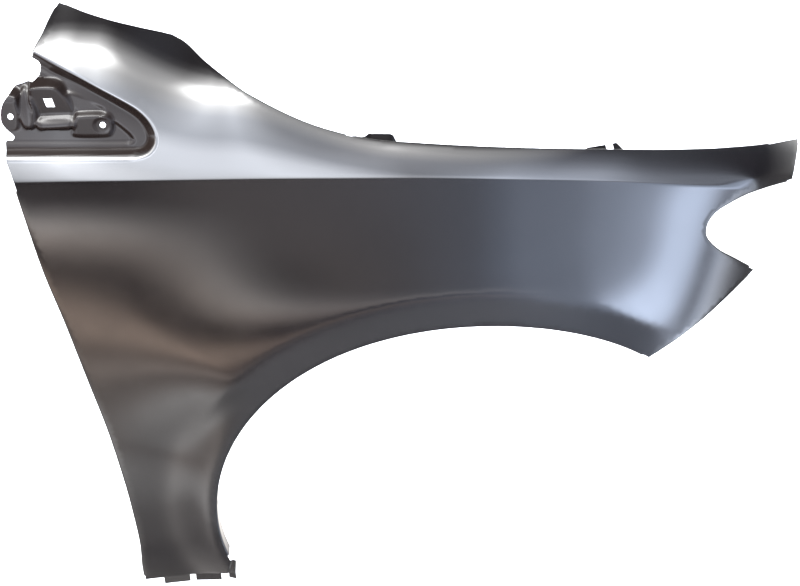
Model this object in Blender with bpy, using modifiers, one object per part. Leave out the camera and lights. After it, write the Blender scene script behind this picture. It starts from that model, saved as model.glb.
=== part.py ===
"""Front fender of a car: one pressed steel sheet with its folded edges.

The sheet is laid out flat as a blank, pressed over the fender's outer surface, folded along
its edges and given its thickness. Metres, +X to the front of the car, +Y to its middle, +Z up.
The blank is measured along the car, and up or down from the shoulder crease. The surface is
drawn from the wheel's centre, and the finished panel is moved so that the origin lies where
the rear bolt tab of the hood gutter sits on the car.
"""

import math

import bmesh
import bpy
from mathutils import Matrix, Vector
from mathutils.geometry import delaunay_2d_cdt

MM = 0.001
DEG = math.pi / 180

# The sheet and its folds
SHEET_THICKNESS = 0.8 * MM
FOLD_RADIUS = 2.4 * MM
FOLD_STEPS = 2
CORNER_SETBACK = 9 * MM

# The wheel arch, from the wheel's centre, and what the panel reaches beyond its edge
ARCH_RADIUS = 350 * MM
ARCH_FRONT_ANGLE = 47 * DEG
ARCH_REAR_ANGLE = 195 * DEG
REAR_STRIP = 200 * MM
FRONT_STRIP = 80 * MM
ABOVE_ARCH = 203.5 * MM
SILL_DEPTH = 166.5 * MM
HEEL_SETBACK = 9 * MM
SHOULDER_RISE = 250 * MM
REAR_REACH = ARCH_RADIUS + REAR_STRIP
FRONT_REACH = ARCH_RADIUS + FRONT_STRIP
CREASE_HEIGHT = ARCH_RADIUS + ABOVE_ARCH
SIDE_DROP = CREASE_HEIGHT + SILL_DEPTH

# The outer surface
CREASE_DIP_FRONT = 97 * MM
CREASE_DIP_REAR = 4.5 * MM
CREASE_DIP_REACH = 520 * MM
CREASE_TURN = -160 * MM
CREASE_FRONT_CURVE = 2.7
NOSE_SWEEP = 140 * MM
NOSE_LENGTH = 600 * MM
NOSE_START = -200 * MM
SIDE_INSET_REAR = 5 * MM
SIDE_INSET_MIDDLE = 12 * MM
SIDE_INSET_FRONT = 26 * MM
SIDE_RADIUS = 4500 * MM
BELLY_HEIGHT = 130 * MM
SILL_TUCK_HEIGHT = -40 * MM
SILL_TUCK_RADIUS = 600 * MM
SCALLOP_DEPTH = 4 * MM
SCALLOP_REACH = 30 * MM

# The flared band round the arch
BAND_WIDTH_FRONT = 43 * MM
BAND_WIDTH_TOP = 51 * MM
BAND_TUCK = 3 * MM
BAND_FADE = 55 * MM
BAND_SOFT_FADE = 75 * MM
BAND_END_ANGLE = 138 * DEG
BAND_END_BLEND = 25 * DEG
BAND_RELIEF = 100 * MM
LOW_TURN_IN = 12 * MM
LOW_TURN_REACH = 160 * MM

# The shoulder above the crease: its lean from upright and its radius, along the car
LEAN_SHARES = ((-0.91, 0.48), (-0.55, 0.65), (0.0, 1.0), (0.46, 0.83), (0.93, 0.43))
SHOULDER_LEAN = 46 * DEG
ROLL_SHARES = ((-0.82, 1.0), (-0.55, 0.79), (-0.18, 0.42), (0.23, 0.42), (0.93, 0.37))
SHOULDER_RADIUS = 215 * MM

# The trim recess at the rear of the shoulder
RECESS_LENGTH = 180 * MM
RECESS_HEIGHT = 140 * MM
RECESS_RISE = 24 * MM
RECESS_DEPTH = 15 * MM
WELL_DEPTH = 4 * MM
WELL_SKIRT = 5 * MM
PAD_SKIRT = 5 * MM
TRIM_PAD_RISE = 7 * MM
TRIM_PAD_LEAN = 20 * DEG
BOLT_PAD_RISE = 6 * MM
BOLT_PAD_LEAN = 24 * DEG
LATCH_PAD_RISE = 6 * MM
LATCH_PAD_LEAN = 24 * DEG
RIB_RISE = 3 * MM
RIB_LEAN = 34 * DEG
BEAD_RISE = 7 * MM
BEAD_ROUND = 9 * MM
ROLL_RISE = 8 * MM
ROLL_ROUND = 8 * MM
SEAT_RADIUS = 10 * MM
SEAT_STEP = 0.8 * MM
TRIM_HOLE = 7 * MM
CLIP_WINDOW = 10 * MM

# The folded edges
ARM_RETURN = 10 * MM
DOOR_RETURN = 12 * MM
ARCH_RETURN = 16 * MM
BUMPER_RETURN = 17 * MM
LAMP_RETURN = 7 * MM
GUTTER_DEPTH = 12 * MM
SHELF_WIDTH = 18 * MM
REAR_TAB_REACH = 29 * MM
FRONT_TAB_REACH = 26 * MM
REAR_TAB_LENGTH = 30 * MM
FRONT_TAB_LENGTH = 42 * MM
REAR_TAB_DEPTH = 9.86 * MM
FRONT_TAB_DEPTH = 7.24 * MM
TAB_RAMP = 6 * MM
TAB_BOLT_HOLE = 9 * MM
TAB_HOLE_INSET = 11 * MM
SILL_TAB_SETBACK = 11 * MM
SILL_TAB_LENGTH = 41 * MM
SILL_TAB_GAP = 8 * MM
SILL_TAB_REACH = 16 * MM
SILL_JOGGLE = 4.5 * MM
LINER_HOLE = 7 * MM
BUMPER_HOLE = 8 * MM
LUG_JOGGLE = 2 * MM
LUG_TOP_REACH = 5 * MM
LUG_REACH = 11 * MM
LUG_DROP = 10 * MM

# How closely the sheet is divided
EDGE_STEP = 16 * MM
PANEL_STEP = 27 * MM
CURVE_STEP = 15 * MM
RECESS_STEP = 6 * MM
NEAREST_SHARE = 0.72
MERGE_GAP = 0.8 * MM

CUT_OVERRUN = 6 * MM

# Outlines on the blank, as shares of the reach and of the rise or drop
ARM_TOP_SHARES = ((-0.924, 1.015), (-0.862, 0.92), (-0.80, 0.86), (-0.735, 0.837), (-0.672, 0.843))
HOOD_EDGE_SHARES = (
    (-0.672, 0.843), (-0.641, 0.79), (-0.593, 0.643), (-0.525, 0.48), (-0.468, 0.388),
    (-0.387, 0.293), (-0.309, 0.232), (-0.22, 0.193), (-0.10, 0.175), (0.02, 0.165),
    (0.234, 0.156), (0.43, 0.163), (0.63, 0.185), (0.76, 0.211), (0.908, 0.264), (1.057, 0.36),
)
TIP_SHARES = ((1.057, 0.36), (1.026, 0.21), (1.005, 0.09))
LAMP_NOTCH_SHARES = (
    (1.005, 0.09), (0.928, 0.049), (0.840, -0.003), (0.763, -0.029), (0.721, -0.048),
    (0.699, -0.070), (0.699, -0.092), (0.720, -0.108), (0.761, -0.124), (0.822, -0.139),
    (0.898, -0.158),
)
DOOR_EDGE_SHARES = (
    (-0.860, -0.986), (-0.855, -0.93), (-0.846, -0.850), (-0.848, -0.758), (-0.855, -0.66),
    (-0.872, -0.53), (-0.897, -0.405), (-0.925, -0.275), (-0.951, -0.172), (-0.972, -0.060),
    (-0.984, 0.0),
)
DOOR_TOP_SHARES = ((-0.984, 0.0), (-0.992, 0.06), (-0.999, 0.108))
SILL_FRONT_SHARE = -0.941

# Edges between two corners of the blank, as shares of the way along the car and up
BUMPER_EDGE_SHARES = ((0.0, 0.0), (0.184, 0.200), (0.475, 0.491), (0.732, 0.723), (1.0, 1.0))
SILL_SHARES = ((0.0, 0.0), (0.408, 0.512), (0.723, 0.778), (1.0, 1.0))
ARM_END_SHARES = ((0.0, 0.0), (0.12, 0.12), (0.309, 0.238), (0.623, 0.449), (1.0, 1.0))

# Outlines in the recess, as shares of its length and height
RAW_EDGE_SHARES = (
    (-0.016, 0.115), (0.027, 0.121), (0.036, 0.155), (-0.004, 0.205), (-0.038, 0.275),
    (-0.043, 0.36), (-0.030, 0.455), (0.000, 0.535), (0.041, 0.588), (0.105, 0.620),
    (0.180, 0.665), (0.197, 0.740), (0.184, 0.831), (0.135, 0.880),
)
RIM_SHARES = (
    (-0.30, 1.38), (0.143, 0.993), (0.302, 0.858), (0.439, 0.751), (0.605, 0.620),
    (0.757, 0.508), (0.854, 0.427), (0.931, 0.324), (0.970, 0.225), (0.977, 0.154),
    (0.961, 0.093), (0.913, 0.038), (0.826, 0.010), (0.720, 0.006), (0.355, 0.014), (-0.30, 0.030),
)
FOOT_SHARES = (
    (-0.30, 1.20), (0.178, 0.796), (0.262, 0.724), (0.430, 0.618), (0.551, 0.530),
    (0.704, 0.415), (0.812, 0.327), (0.867, 0.255), (0.900, 0.170), (0.905, 0.113),
    (0.885, 0.066), (0.840, 0.048), (0.760, 0.050), (0.339, 0.064), (-0.30, 0.080),
)
WELL_SHARES = (
    (-0.30, 1.05), (0.206, 0.700), (0.309, 0.620), (0.409, 0.544), (0.508, 0.465),
    (0.618, 0.355), (0.726, 0.251), (0.802, 0.165), (0.826, 0.105), (0.800, 0.072),
    (0.72, 0.066), (0.337, 0.078), (-0.30, 0.095),
)
TRIM_PAD_SHARES = (
    (0.163, 0.629), (0.304, 0.625), (0.353, 0.553), (0.392, 0.451), (0.412, 0.344),
    (0.390, 0.302), (0.230, 0.300), (0.188, 0.357), (0.159, 0.457), (0.146, 0.574),
)
BOLT_PAD_SHARES = (
    (0.447, 0.318), (0.475, 0.336), (0.620, 0.336), (0.661, 0.299), (0.672, 0.240),
    (0.662, 0.175), (0.630, 0.154), (0.455, 0.160), (0.437, 0.190),
)
RIB_SHARES = ((0.381, 0.519), (0.424, 0.511), (0.534, 0.429), (0.610, 0.363), (0.460, 0.360),
              (0.427, 0.410))
BEAD_SHARES = (
    (0.078, 0.572), (0.109, 0.586), (0.151, 0.511), (0.186, 0.396), (0.196, 0.285),
    (0.161, 0.218), (0.106, 0.226), (0.076, 0.314), (0.070, 0.456),
)
ROLL_OUTLINE_SHARES = (
    (0.184, 0.262), (0.198, 0.222), (0.230, 0.205), (0.310, 0.206), (0.380, 0.210),
    (0.412, 0.228), (0.426, 0.267), (0.412, 0.308), (0.380, 0.325), (0.310, 0.322),
    (0.230, 0.319), (0.198, 0.302),
)
LATCH_PAD_SHARES = ((-0.12, 0.530), (0.040, 0.540), (0.061, 0.455), (0.062, 0.250), (0.010, 0.206),
                    (-0.12, 0.206))
BOLT_SEAT_SHARE = (0.618, 0.251)
LATCH_SEAT_SHARE = (0.020, 0.340)
CLIP_WINDOW_SHARE = (0.271, 0.455)

# Places along the crease and the hood edge, as shares of the reach, and along other edges
CREASE_END_SHARE = 0.80
GUTTER_START_SHARE = -0.27
GUTTER_END_SHARE = 0.92
SHELF_WIDTH_SHARES = ((-0.27, 0.9), (-0.17, 0.9), (0.0, 0.9), (0.06, 0.5), (0.80, 0.5), (0.92, 0.3))
REAR_TAB_SHARE = -0.21
FRONT_TAB_SHARE = 0.39
LINER_HOLE_SHARES = (0.08, 0.27, 0.47, 0.68, 0.88)
BUMPER_HOLE_SHARES = (0.2, 0.8)


def clamp(value, low=0.0, high=1.0):
    return min(max(value, low), high)


def ease(share):
    share = clamp(share)
    return share * share * (3 - 2 * share)


def reach(share):
    """A place along the car from a share of the rear or front reach."""
    return share * (REAR_REACH if share < 0 else FRONT_REACH)


def blank_point(share):
    along, up = share
    return reach(along), up * (SHOULDER_RISE if up > 0 else SIDE_DROP)


def between(start, end, shares):
    """Points of the blank at shares of the way from one corner to another."""
    return [(start[0] + along * (end[0] - start[0]), start[1] + up * (end[1] - start[1]))
            for along, up in shares]


def recess_point(share):
    along, up = share
    return along * RECESS_LENGTH - REAR_REACH, RECESS_RISE + up * RECESS_HEIGHT


def blended(x, stations, full):
    """The value at x of a table of (reach share, value share) stations, eased between them."""
    first, last = stations[0], stations[-1]
    if x <= reach(first[0]):
        return first[1] * full
    for (here, value), (there, following) in zip(stations, stations[1:]):
        start, end = reach(here), reach(there)
        if x <= end:
            return (value + (following - value) * ease((x - start) / (end - start))) * full
    return last[1] * full


def smooth_span(before, start, end, after, step):
    """Points about one step apart on a smooth curve from start to end, without the start."""
    count = max(1, round(math.dist(start, end) / step))
    span = []
    for index in range(1, count + 1):
        t = index / count
        span.append(tuple(
            0.5 * ((2 * b) + (c - a) * t + (2 * a - 5 * b + 4 * c - d) * t * t
                   + (3 * b - a - 3 * c + d) * t ** 3)
            for a, b, c, d in zip(before, start, end, after)))
    return span


def smooth_line(points, step):
    """An open smooth curve through the points."""
    ends = [points[0]] + list(points) + [points[-1]]
    line = [points[0]]
    for four in zip(ends, ends[1:], ends[2:], ends[3:]):
        line += smooth_span(*four, step)
    return line


def smooth_loop(points, step):
    """A closed smooth curve through the points, without a repeated end."""
    count = len(points)
    loop = []
    for index in range(count):
        four = [points[(index + offset) % count] for offset in (-1, 0, 1, 2)]
        loop += smooth_span(*four, step)
    return loop


def inside_distance(point, loop):
    """How far a point of the blank lies inside a closed loop, negative outside it."""
    x, y = point
    nearest = math.inf
    inside = False
    for (ax, ay), (bx, by) in zip(loop, loop[1:] + loop[:1]):
        dx, dy = bx - ax, by - ay
        t = clamp(((x - ax) * dx + (y - ay) * dy) / max(dx * dx + dy * dy, 1e-18))
        nearest = min(nearest, math.hypot(x - ax - t * dx, y - ay - t * dy))
        if (ay > y) != (by > y) and x < ax + dx * (y - ay) / dy:
            inside = not inside
    return nearest if inside else -nearest


def crease_height(x):
    ahead = max(x - CREASE_TURN, 0) / CREASE_DIP_REACH
    behind = max(CREASE_TURN - x, 0) / (REAR_REACH + CREASE_TURN)
    return CREASE_HEIGHT - CREASE_DIP_FRONT * ahead ** CREASE_FRONT_CURVE - CREASE_DIP_REAR * behind ** 2


def nose(x):
    return NOSE_SWEEP * (max(x - NOSE_START, 0) / NOSE_LENGTH) ** 3


def side_inset(x):
    if x < 0:
        return SIDE_INSET_MIDDLE + (SIDE_INSET_REAR - SIDE_INSET_MIDDLE) * ease(-x / REAR_REACH)
    return SIDE_INSET_MIDDLE + (SIDE_INSET_FRONT - SIDE_INSET_MIDDLE) * ease(x / FRONT_REACH)


def scallop(x, below):
    """The hollow pressed just under the crease, fading towards the front."""
    share = below / SCALLOP_REACH
    return SCALLOP_DEPTH * (1 - ease(x / FRONT_REACH)) * share * math.exp(1 - share)


def body_side(x, z):
    tuck = max(SILL_TUCK_HEIGHT - z, 0) ** 2 / (2 * SILL_TUCK_RADIUS)
    belly = (z - BELLY_HEIGHT) ** 2 / (2 * SIDE_RADIUS)
    below = max(crease_height(x) - z, 0)
    return nose(x) + side_inset(x) + belly + tuck + scallop(x, below)


def band_width(angle):
    return BAND_WIDTH_FRONT + (BAND_WIDTH_TOP - BAND_WIDTH_FRONT) * ease(
        (angle - ARCH_FRONT_ANGLE) / (math.pi / 2 - ARCH_FRONT_ANGLE))


def side_surface(x, z):
    """The side below the crease: the body side, flared out to the band round the wheel."""
    radius = math.hypot(x, z)
    angle = math.atan2(z, x) % (2 * math.pi)
    width = band_width(angle)
    beyond = radius - ARCH_RADIUS
    band = nose(x) + LOW_TURN_IN * (min(z, 0) / LOW_TURN_REACH) ** 2
    band -= BAND_TUCK * clamp(beyond / width)
    crisp = math.exp(-max(beyond - width, 0) / BAND_FADE)
    soft = math.exp(-(max(beyond, 0) / BAND_SOFT_FADE) ** 2)
    flare = crisp + (soft - crisp) * ease((angle - BAND_END_ANGLE) / BAND_END_BLEND)
    flare *= ease((crease_height(x) - z) / BAND_RELIEF)
    side = body_side(x, z)
    return side + (band - side) * flare


def shoulder_surface(x, rise):
    """The shoulder above the crease: an arc that starts at its lean and rolls inwards."""
    lean = blended(x, LEAN_SHARES, SHOULDER_LEAN)
    radius = blended(x, ROLL_SHARES, SHOULDER_RADIUS)
    turned = lean + rise / radius
    height = crease_height(x)
    y = body_side(x, height) + radius * (math.cos(lean) - math.cos(turned))
    return y, height + radius * (math.sin(turned) - math.sin(lean))


def plain_surface(x, up):
    if up > 0:
        y, z = shoulder_surface(x, up)
        return Vector((x, y, z))
    z = crease_height(x) + up
    return Vector((x, side_surface(x, z), z))


class Pad:
    """A flat raised pad on the recess floor, leaning inwards from upright."""

    def __init__(self, outline, centre, rise, lean, skirt=PAD_SKIRT):
        self.outline = outline
        self.skirt = skirt
        self.centre = plain_surface(*centre)
        self.centre.y += RECESS_DEPTH + WELL_DEPTH - rise
        ahead = plain_surface(centre[0] + SHEET_THICKNESS, centre[1]) - plain_surface(*centre)
        self.slope_up = math.tan(lean)
        self.slope_along = (ahead.y - self.slope_up * ahead.z) / ahead.x
        self.normal = Vector((self.slope_along, -1, self.slope_up)).normalized()

    def height(self, place):
        """The pad's own y at a place of the sheet."""
        return (self.centre.y + self.slope_along * (place.x - self.centre.x)
                + self.slope_up * (place.z - self.centre.z))

    def share(self, point):
        return ease(1 + inside_distance(point, self.outline) / self.skirt)


class Swell:
    """A rounded swelling on the recess floor, highest along its middle."""

    def __init__(self, outline, rise, rounding):
        self.outline = outline
        self.rise = rise
        self.rounding = rounding

    def height(self, point):
        share = clamp(inside_distance(point, self.outline) / self.rounding)
        return self.rise * math.sqrt(1 - (1 - share) ** 2)


def ring(centre, radius, count=20):
    turns = (2 * math.pi * index / count for index in range(count))
    return [(centre[0] + radius * math.cos(turn), centre[1] + radius * math.sin(turn))
            for turn in turns]


def middle(points):
    return sum(p[0] for p in points) / len(points), sum(p[1] for p in points) / len(points)


class Recess:
    """The trim recess: a sunk floor with a deeper well and raised pads on it."""

    def __init__(self):
        self.rim = smooth_line([recess_point(s) for s in RIM_SHARES], RECESS_STEP)
        self.foot = smooth_line([recess_point(s) for s in FOOT_SHARES], RECESS_STEP)
        self.well = smooth_line([recess_point(s) for s in WELL_SHARES], RECESS_STEP)
        self.bolt_seat = recess_point(BOLT_SEAT_SHARE)
        self.latch_seat = recess_point(LATCH_SEAT_SHARE)
        self.window = recess_point(CLIP_WINDOW_SHARE)
        rib = self.loop(RIB_SHARES)
        self.trim_pad = Pad(self.loop(TRIM_PAD_SHARES), self.window, TRIM_PAD_RISE, TRIM_PAD_LEAN)
        self.bolt_pad = Pad(self.loop(BOLT_PAD_SHARES), self.bolt_seat, BOLT_PAD_RISE, BOLT_PAD_LEAN)
        self.latch_pad = Pad(self.loop(LATCH_PAD_SHARES), self.latch_seat, LATCH_PAD_RISE,
                             LATCH_PAD_LEAN)
        self.pads = [
            Pad(rib, middle(rib), RIB_RISE, RIB_LEAN),
            self.trim_pad,
            self.bolt_pad,
            self.latch_pad,
            Pad(ring(self.bolt_seat, SEAT_RADIUS), self.bolt_seat, BOLT_PAD_RISE - SEAT_STEP,
                BOLT_PAD_LEAN, 2 * SEAT_STEP),
        ]
        self.swells = [
            Swell(self.loop(BEAD_SHARES), BEAD_RISE, BEAD_ROUND),
            Swell(self.loop(ROLL_OUTLINE_SHARES), ROLL_RISE, ROLL_ROUND),
        ]

    @staticmethod
    def loop(shares):
        return smooth_loop([recess_point(s) for s in shares], RECESS_STEP)

    def place(self, point):
        """Where the press puts a point of the blank, recess, pads and swells included."""
        placed = plain_surface(*point)
        in_rim = inside_distance(point, self.rim)
        if in_rim <= 0:
            return placed
        in_foot = inside_distance(point, self.foot)
        sunk = 1.0 if in_foot >= 0 else in_rim / (in_rim - in_foot)
        placed.y += RECESS_DEPTH * sunk
        placed.y += WELL_DEPTH * ease(inside_distance(point, self.well) / WELL_SKIRT)
        for pad in self.pads:
            share = pad.share(point)
            placed.y += (pad.height(placed) - placed.y) * share
        placed.y -= sum(swell.height(point) for swell in self.swells)
        return placed

    def guides(self):
        loops = [form.outline + form.outline[:1] for form in self.pads + self.swells]
        return [self.rim, self.foot, self.well] + loops


class Fender:
    """The sheet's mesh, from the flat blank to the pressed and folded surface."""

    def __init__(self):
        self.recess = Recess()
        self.outline = []
        self.runs = {}
        self.holes = []
        self.mesh = bmesh.new()
        self.trace_outline()
        self.press_blank()

    def edge(self, name, points):
        """Adds one edge of the blank to its outline and keeps its name."""
        start = len(self.outline) - 1 if self.outline else 0
        self.outline.extend(points[1:] if self.outline else points)
        self.runs[name] = list(range(start, len(self.outline)))

    def shared_edge(self, name, shares):
        self.edge(name, smooth_line([blank_point(s) for s in shares], EDGE_STEP))

    def edge_between(self, name, start, end, shares):
        self.edge(name, smooth_line(between(start, end, shares), EDGE_STEP))

    def trace_outline(self):
        self.shared_edge("arm_top", ARM_TOP_SHARES)
        self.edge("hood", self.hood_line())
        self.shared_edge("tip", TIP_SHARES)
        self.shared_edge("lamp", LAMP_NOTCH_SHARES)
        arch = self.arch_line()
        self.edge_between("bumper", blank_point(LAMP_NOTCH_SHARES[-1]), arch[0], BUMPER_EDGE_SHARES)
        self.edge("arch", arch)
        self.sill_front = (arch[-1][0] - HEEL_SETBACK, SILL_FRONT_SHARE * SIDE_DROP)
        self.edge("heel", smooth_line([arch[-1], self.sill_front], EDGE_STEP))
        self.edge("sill", self.sill_line())
        self.shared_edge("door", DOOR_EDGE_SHARES)
        self.shared_edge("door_top", DOOR_TOP_SHARES)
        raw = [blank_point(DOOR_TOP_SHARES[-1])] + [recess_point(s) for s in RAW_EDGE_SHARES]
        self.edge("raw", raw)
        self.edge_between("arm_end", raw[-1], blank_point(ARM_TOP_SHARES[0]), ARM_END_SHARES)
        self.outline.pop()
        self.runs["arm_end"][-1] = 0

    def arch_line(self):
        turn = ARCH_REAR_ANGLE - ARCH_FRONT_ANGLE
        count = round(turn * ARCH_RADIUS / EDGE_STEP)
        line = []
        for index in range(count + 1):
            angle = ARCH_FRONT_ANGLE + turn * index / count
            x = ARCH_RADIUS * math.cos(angle)
            line.append((x, ARCH_RADIUS * math.sin(angle) - crease_height(x)))
        return line

    def stations_added(self, line, stations):
        """The line with a point at each station along the car, and none crowding it."""
        kept = [p for p in line[1:-1] if all(abs(p[0] - s) > CORNER_SETBACK / 2 for s in stations)]
        added = []
        for station in stations:
            for (ax, ay), (bx, by) in zip(line, line[1:]):
                if min(ax, bx) <= station < max(ax, bx):
                    added.append((station, ay + (by - ay) * (station - ax) / (bx - ax)))
        forward = line[-1][0] > line[0][0]
        inner = sorted(kept + added, key=lambda p: p[0], reverse=not forward)
        return [line[0]] + inner + [line[-1]]

    def hood_line(self):
        stations = [reach(GUTTER_START_SHARE), reach(GUTTER_START_SHARE) - TAB_RAMP]
        for centre, half, _, _ in self.gutter_tabs():
            stations += [centre - half - TAB_RAMP, centre - half, centre + half,
                         centre + half + TAB_RAMP]
        line = smooth_line([blank_point(s) for s in HOOD_EDGE_SHARES], EDGE_STEP)
        return self.stations_added(line, stations)

    @staticmethod
    def gutter_tabs():
        """The centre, half length, reach and depth of each bolt tab on the gutter's shelf."""
        return [(reach(REAR_TAB_SHARE), REAR_TAB_LENGTH / 2, REAR_TAB_REACH, REAR_TAB_DEPTH),
                (reach(FRONT_TAB_SHARE), FRONT_TAB_LENGTH / 2, FRONT_TAB_REACH, FRONT_TAB_DEPTH)]

    def sill_line(self):
        door_corner = blank_point(DOOR_EDGE_SHARES[0])
        line = smooth_line(between(self.sill_front, door_corner, SILL_SHARES), EDGE_STEP)
        return self.stations_added(line, [s for pair in self.sill_tab_spans() for s in pair])

    def sill_tab_spans(self):
        front = self.sill_front[0] - SILL_TAB_SETBACK
        spans = []
        for _ in range(2):
            spans.append((front, front - SILL_TAB_LENGTH))
            front -= SILL_TAB_LENGTH + SILL_TAB_GAP
        return spans

    def guide_lines(self):
        """Lines inside the blank that the mesh follows: the crease, the band and the recess."""
        door = blank_point(DOOR_TOP_SHARES[0])
        crease_end = (reach(CREASE_END_SHARE), 0)
        crease = smooth_line([door, crease_end], CURVE_STEP)
        band = []
        turn = BAND_END_ANGLE - ARCH_FRONT_ANGLE
        count = round(turn * ARCH_RADIUS / CURVE_STEP)
        for index in range(1, count + 1):
            angle = ARCH_FRONT_ANGLE + turn * index / count
            radius = ARCH_RADIUS + band_width(angle)
            x = radius * math.cos(angle)
            band.append((x, radius * math.sin(angle) - crease_height(x)))
        return [crease, band] + self.recess.guides()

    def step_at(self, point):
        """The spacing that the sheet needs at a point of the blank."""
        x, up = point
        if inside_distance(point, self.recess.rim) > 0:
            return RECESS_STEP
        z = crease_height(x) + up
        if up > 0:
            near_band = False
        else:
            band = math.hypot(x, z) - ARCH_RADIUS - BAND_WIDTH_TOP
            near_band = abs(band) < BAND_FADE / 2 and x > -ARCH_RADIUS
        near_crease = -SCALLOP_REACH < up < 3 * SCALLOP_REACH
        near_sill = z < SILL_TUCK_HEIGHT
        return CURVE_STEP if near_band or near_crease or near_sill else PANEL_STEP

    def inner_points(self, fixed):
        """Points spread over the blank, each about one step from its neighbours."""
        cell = PANEL_STEP
        buckets = {}
        for p in fixed:
            buckets.setdefault((math.floor(p[0] / cell), math.floor(p[1] / cell)), []).append(p)
        xs = [p[0] for p in self.outline]
        ys = [p[1] for p in self.outline]
        added = []
        for step in (RECESS_STEP, CURVE_STEP, PANEL_STEP):
            row_height = step * math.sqrt(3) / 2
            for row in range(int((max(ys) - min(ys)) / row_height) + 1):
                for column in range(int((max(xs) - min(xs)) / step) + 1):
                    p = (min(xs) + step * (column + row % 2 / 2), min(ys) + row_height * row)
                    i, j = math.floor(p[0] / cell), math.floor(p[1] / cell)
                    near = [q for a in (i - 1, i, i + 1) for b in (j - 1, j, j + 1)
                            for q in buckets.get((a, b), ())]
                    if any(math.dist(p, q) < NEAREST_SHARE * step for q in near):
                        continue
                    if self.step_at(p) != step:
                        continue
                    if inside_distance(p, self.outline) < step / 3:
                        continue
                    added.append(p)
                    buckets.setdefault((i, j), []).append(p)
        return added

    def press_blank(self):
        """Divides the blank into triangles and presses every point of it."""
        points = list(self.outline)
        count = len(points)
        edges = [(i, (i + 1) % count) for i in range(count)]
        for guide in self.guide_lines():
            closed = math.dist(guide[0], guide[-1]) < SHEET_THICKNESS
            inner = [inside_distance(p, self.outline) > RECESS_STEP / 3 for p in guide]
            indices = {}
            for index, (p, keep) in enumerate(zip(guide, inner)):
                if closed and index == len(guide) - 1:
                    indices[index] = indices.get(0)
                elif keep:
                    indices[index] = len(points)
                    points.append(p)
            for index in range(len(guide) - 1):
                if indices.get(index) is not None and indices.get(index + 1) is not None:
                    edges.append((indices[index], indices[index + 1]))
        door = self.runs["door_top"][0]
        edges.append((door, count))
        points += self.inner_points(points)
        flat = [Vector(p) for p in points]
        verts, _, faces, sources, _, _ = delaunay_2d_cdt(flat, edges, [], 1, MERGE_GAP)
        placed = [self.mesh.verts.new(self.recess.place(tuple(p))) for p in verts]
        for face in faces:
            corners = [placed[i] for i in face]
            self.mesh.faces.new(corners if self.outward(verts, face) else corners[::-1])
        self.skin = [None] * count
        for vert, source in zip(placed, sources):
            for index in source:
                if index < count:
                    self.skin[index] = vert

    @staticmethod
    def outward(verts, face):
        a, b, c = (verts[i] for i in face[:3])
        return (b - a).cross(c - a) > 0

    def frame(self, index):
        """The corner, the way out of the sheet, its outer normal and its run at an outline point."""
        point = self.outline[index]
        before = self.outline[index - 1]
        after = self.outline[(index + 1) % len(self.outline)]
        nudge = SHEET_THICKNESS
        across = plain_surface(point[0] + nudge, point[1]) - plain_surface(point[0] - nudge, point[1])
        rising = plain_surface(point[0], point[1] + nudge) - plain_surface(point[0], point[1] - nudge)
        normal = across.cross(rising).normalized()
        along = (plain_surface(*after) - plain_surface(*before))
        along = (along - along.dot(normal) * normal).normalized()
        return self.skin[index].co.copy(), normal.cross(along), normal, along

    def run_within(self, name, start=CORNER_SETBACK, end=CORNER_SETBACK):
        """The outline points of a named edge, less a setback at each end."""
        indices = self.runs[name]
        places = [self.skin[i].co for i in indices]
        walked = [0.0]
        for here, there in zip(places, places[1:]):
            walked.append(walked[-1] + (there - here).length)
        return [i for i, w in zip(indices, walked) if start <= w <= walked[-1] - end]

    def strip(self, indices, columns):
        """Joins columns of points to the skin's edge, one column for each outline point."""
        rows = [[self.skin[i]] + [self.mesh.verts.new(p) for p in column]
                for i, column in zip(indices, columns)]
        for left, right in zip(rows, rows[1:]):
            for k in range(len(left) - 1):
                self.mesh.faces.new((left[k], left[k + 1], right[k + 1], right[k]))
        return rows

    def folded(self, index, angle, length):
        """One column of a plain return: a fold and a flat leg."""
        corner, out, normal, _ = self.frame(index)
        column = arc(corner, out, normal, angle, FOLD_RADIUS)
        leg = math.cos(angle) * out - math.sin(angle) * normal
        return column + [column[-1] + leg * length]

    def add_returns(self):
        """The plain returns, folded square to the skin."""
        square = math.pi / 2
        widths = {"arm_top": ARM_RETURN, "arm_end": ARM_RETURN, "tip": LAMP_RETURN,
                  "lamp": LAMP_RETURN, "bumper": BUMPER_RETURN, "door": DOOR_RETURN,
                  "arch": ARCH_RETURN}
        for name, width in widths.items():
            run = self.run_within(name)
            rows = self.strip(run, [self.folded(i, square, width) for i in run])
            if name == "bumper":
                self.holes += self.strip_holes(rows, BUMPER_HOLE_SHARES, BUMPER_HOLE)
            if name == "arch":
                self.holes += self.strip_holes(rows, LINER_HOLE_SHARES, LINER_HOLE)

    def add_heel_lug(self):
        """A lug on the heel's edge below the arch, set in behind the skin."""
        run = self.runs["heel"]
        slope = math.pi / 4
        _, out, normal, _ = self.frame(run[len(run) // 2])
        leg = math.cos(slope) * out - math.sin(slope) * normal
        columns = []
        for step, index in enumerate(run):
            tip = LUG_TOP_REACH + (LUG_REACH - LUG_TOP_REACH) * step / (len(run) - 1)
            column = arc(self.skin[index].co, out, normal, slope, FOLD_RADIUS)
            column.append(column[-1] + leg * LUG_JOGGLE)
            column.append(column[-1] + out * tip)
            columns.append(column)
        hem, end = self.strip(run, columns)[-1][-2:]
        low = [self.mesh.verts.new(v.co - Vector((0, 0, LUG_DROP))) for v in (hem, end)]
        self.mesh.faces.new((hem, end, low[1], low[0]))

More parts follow.
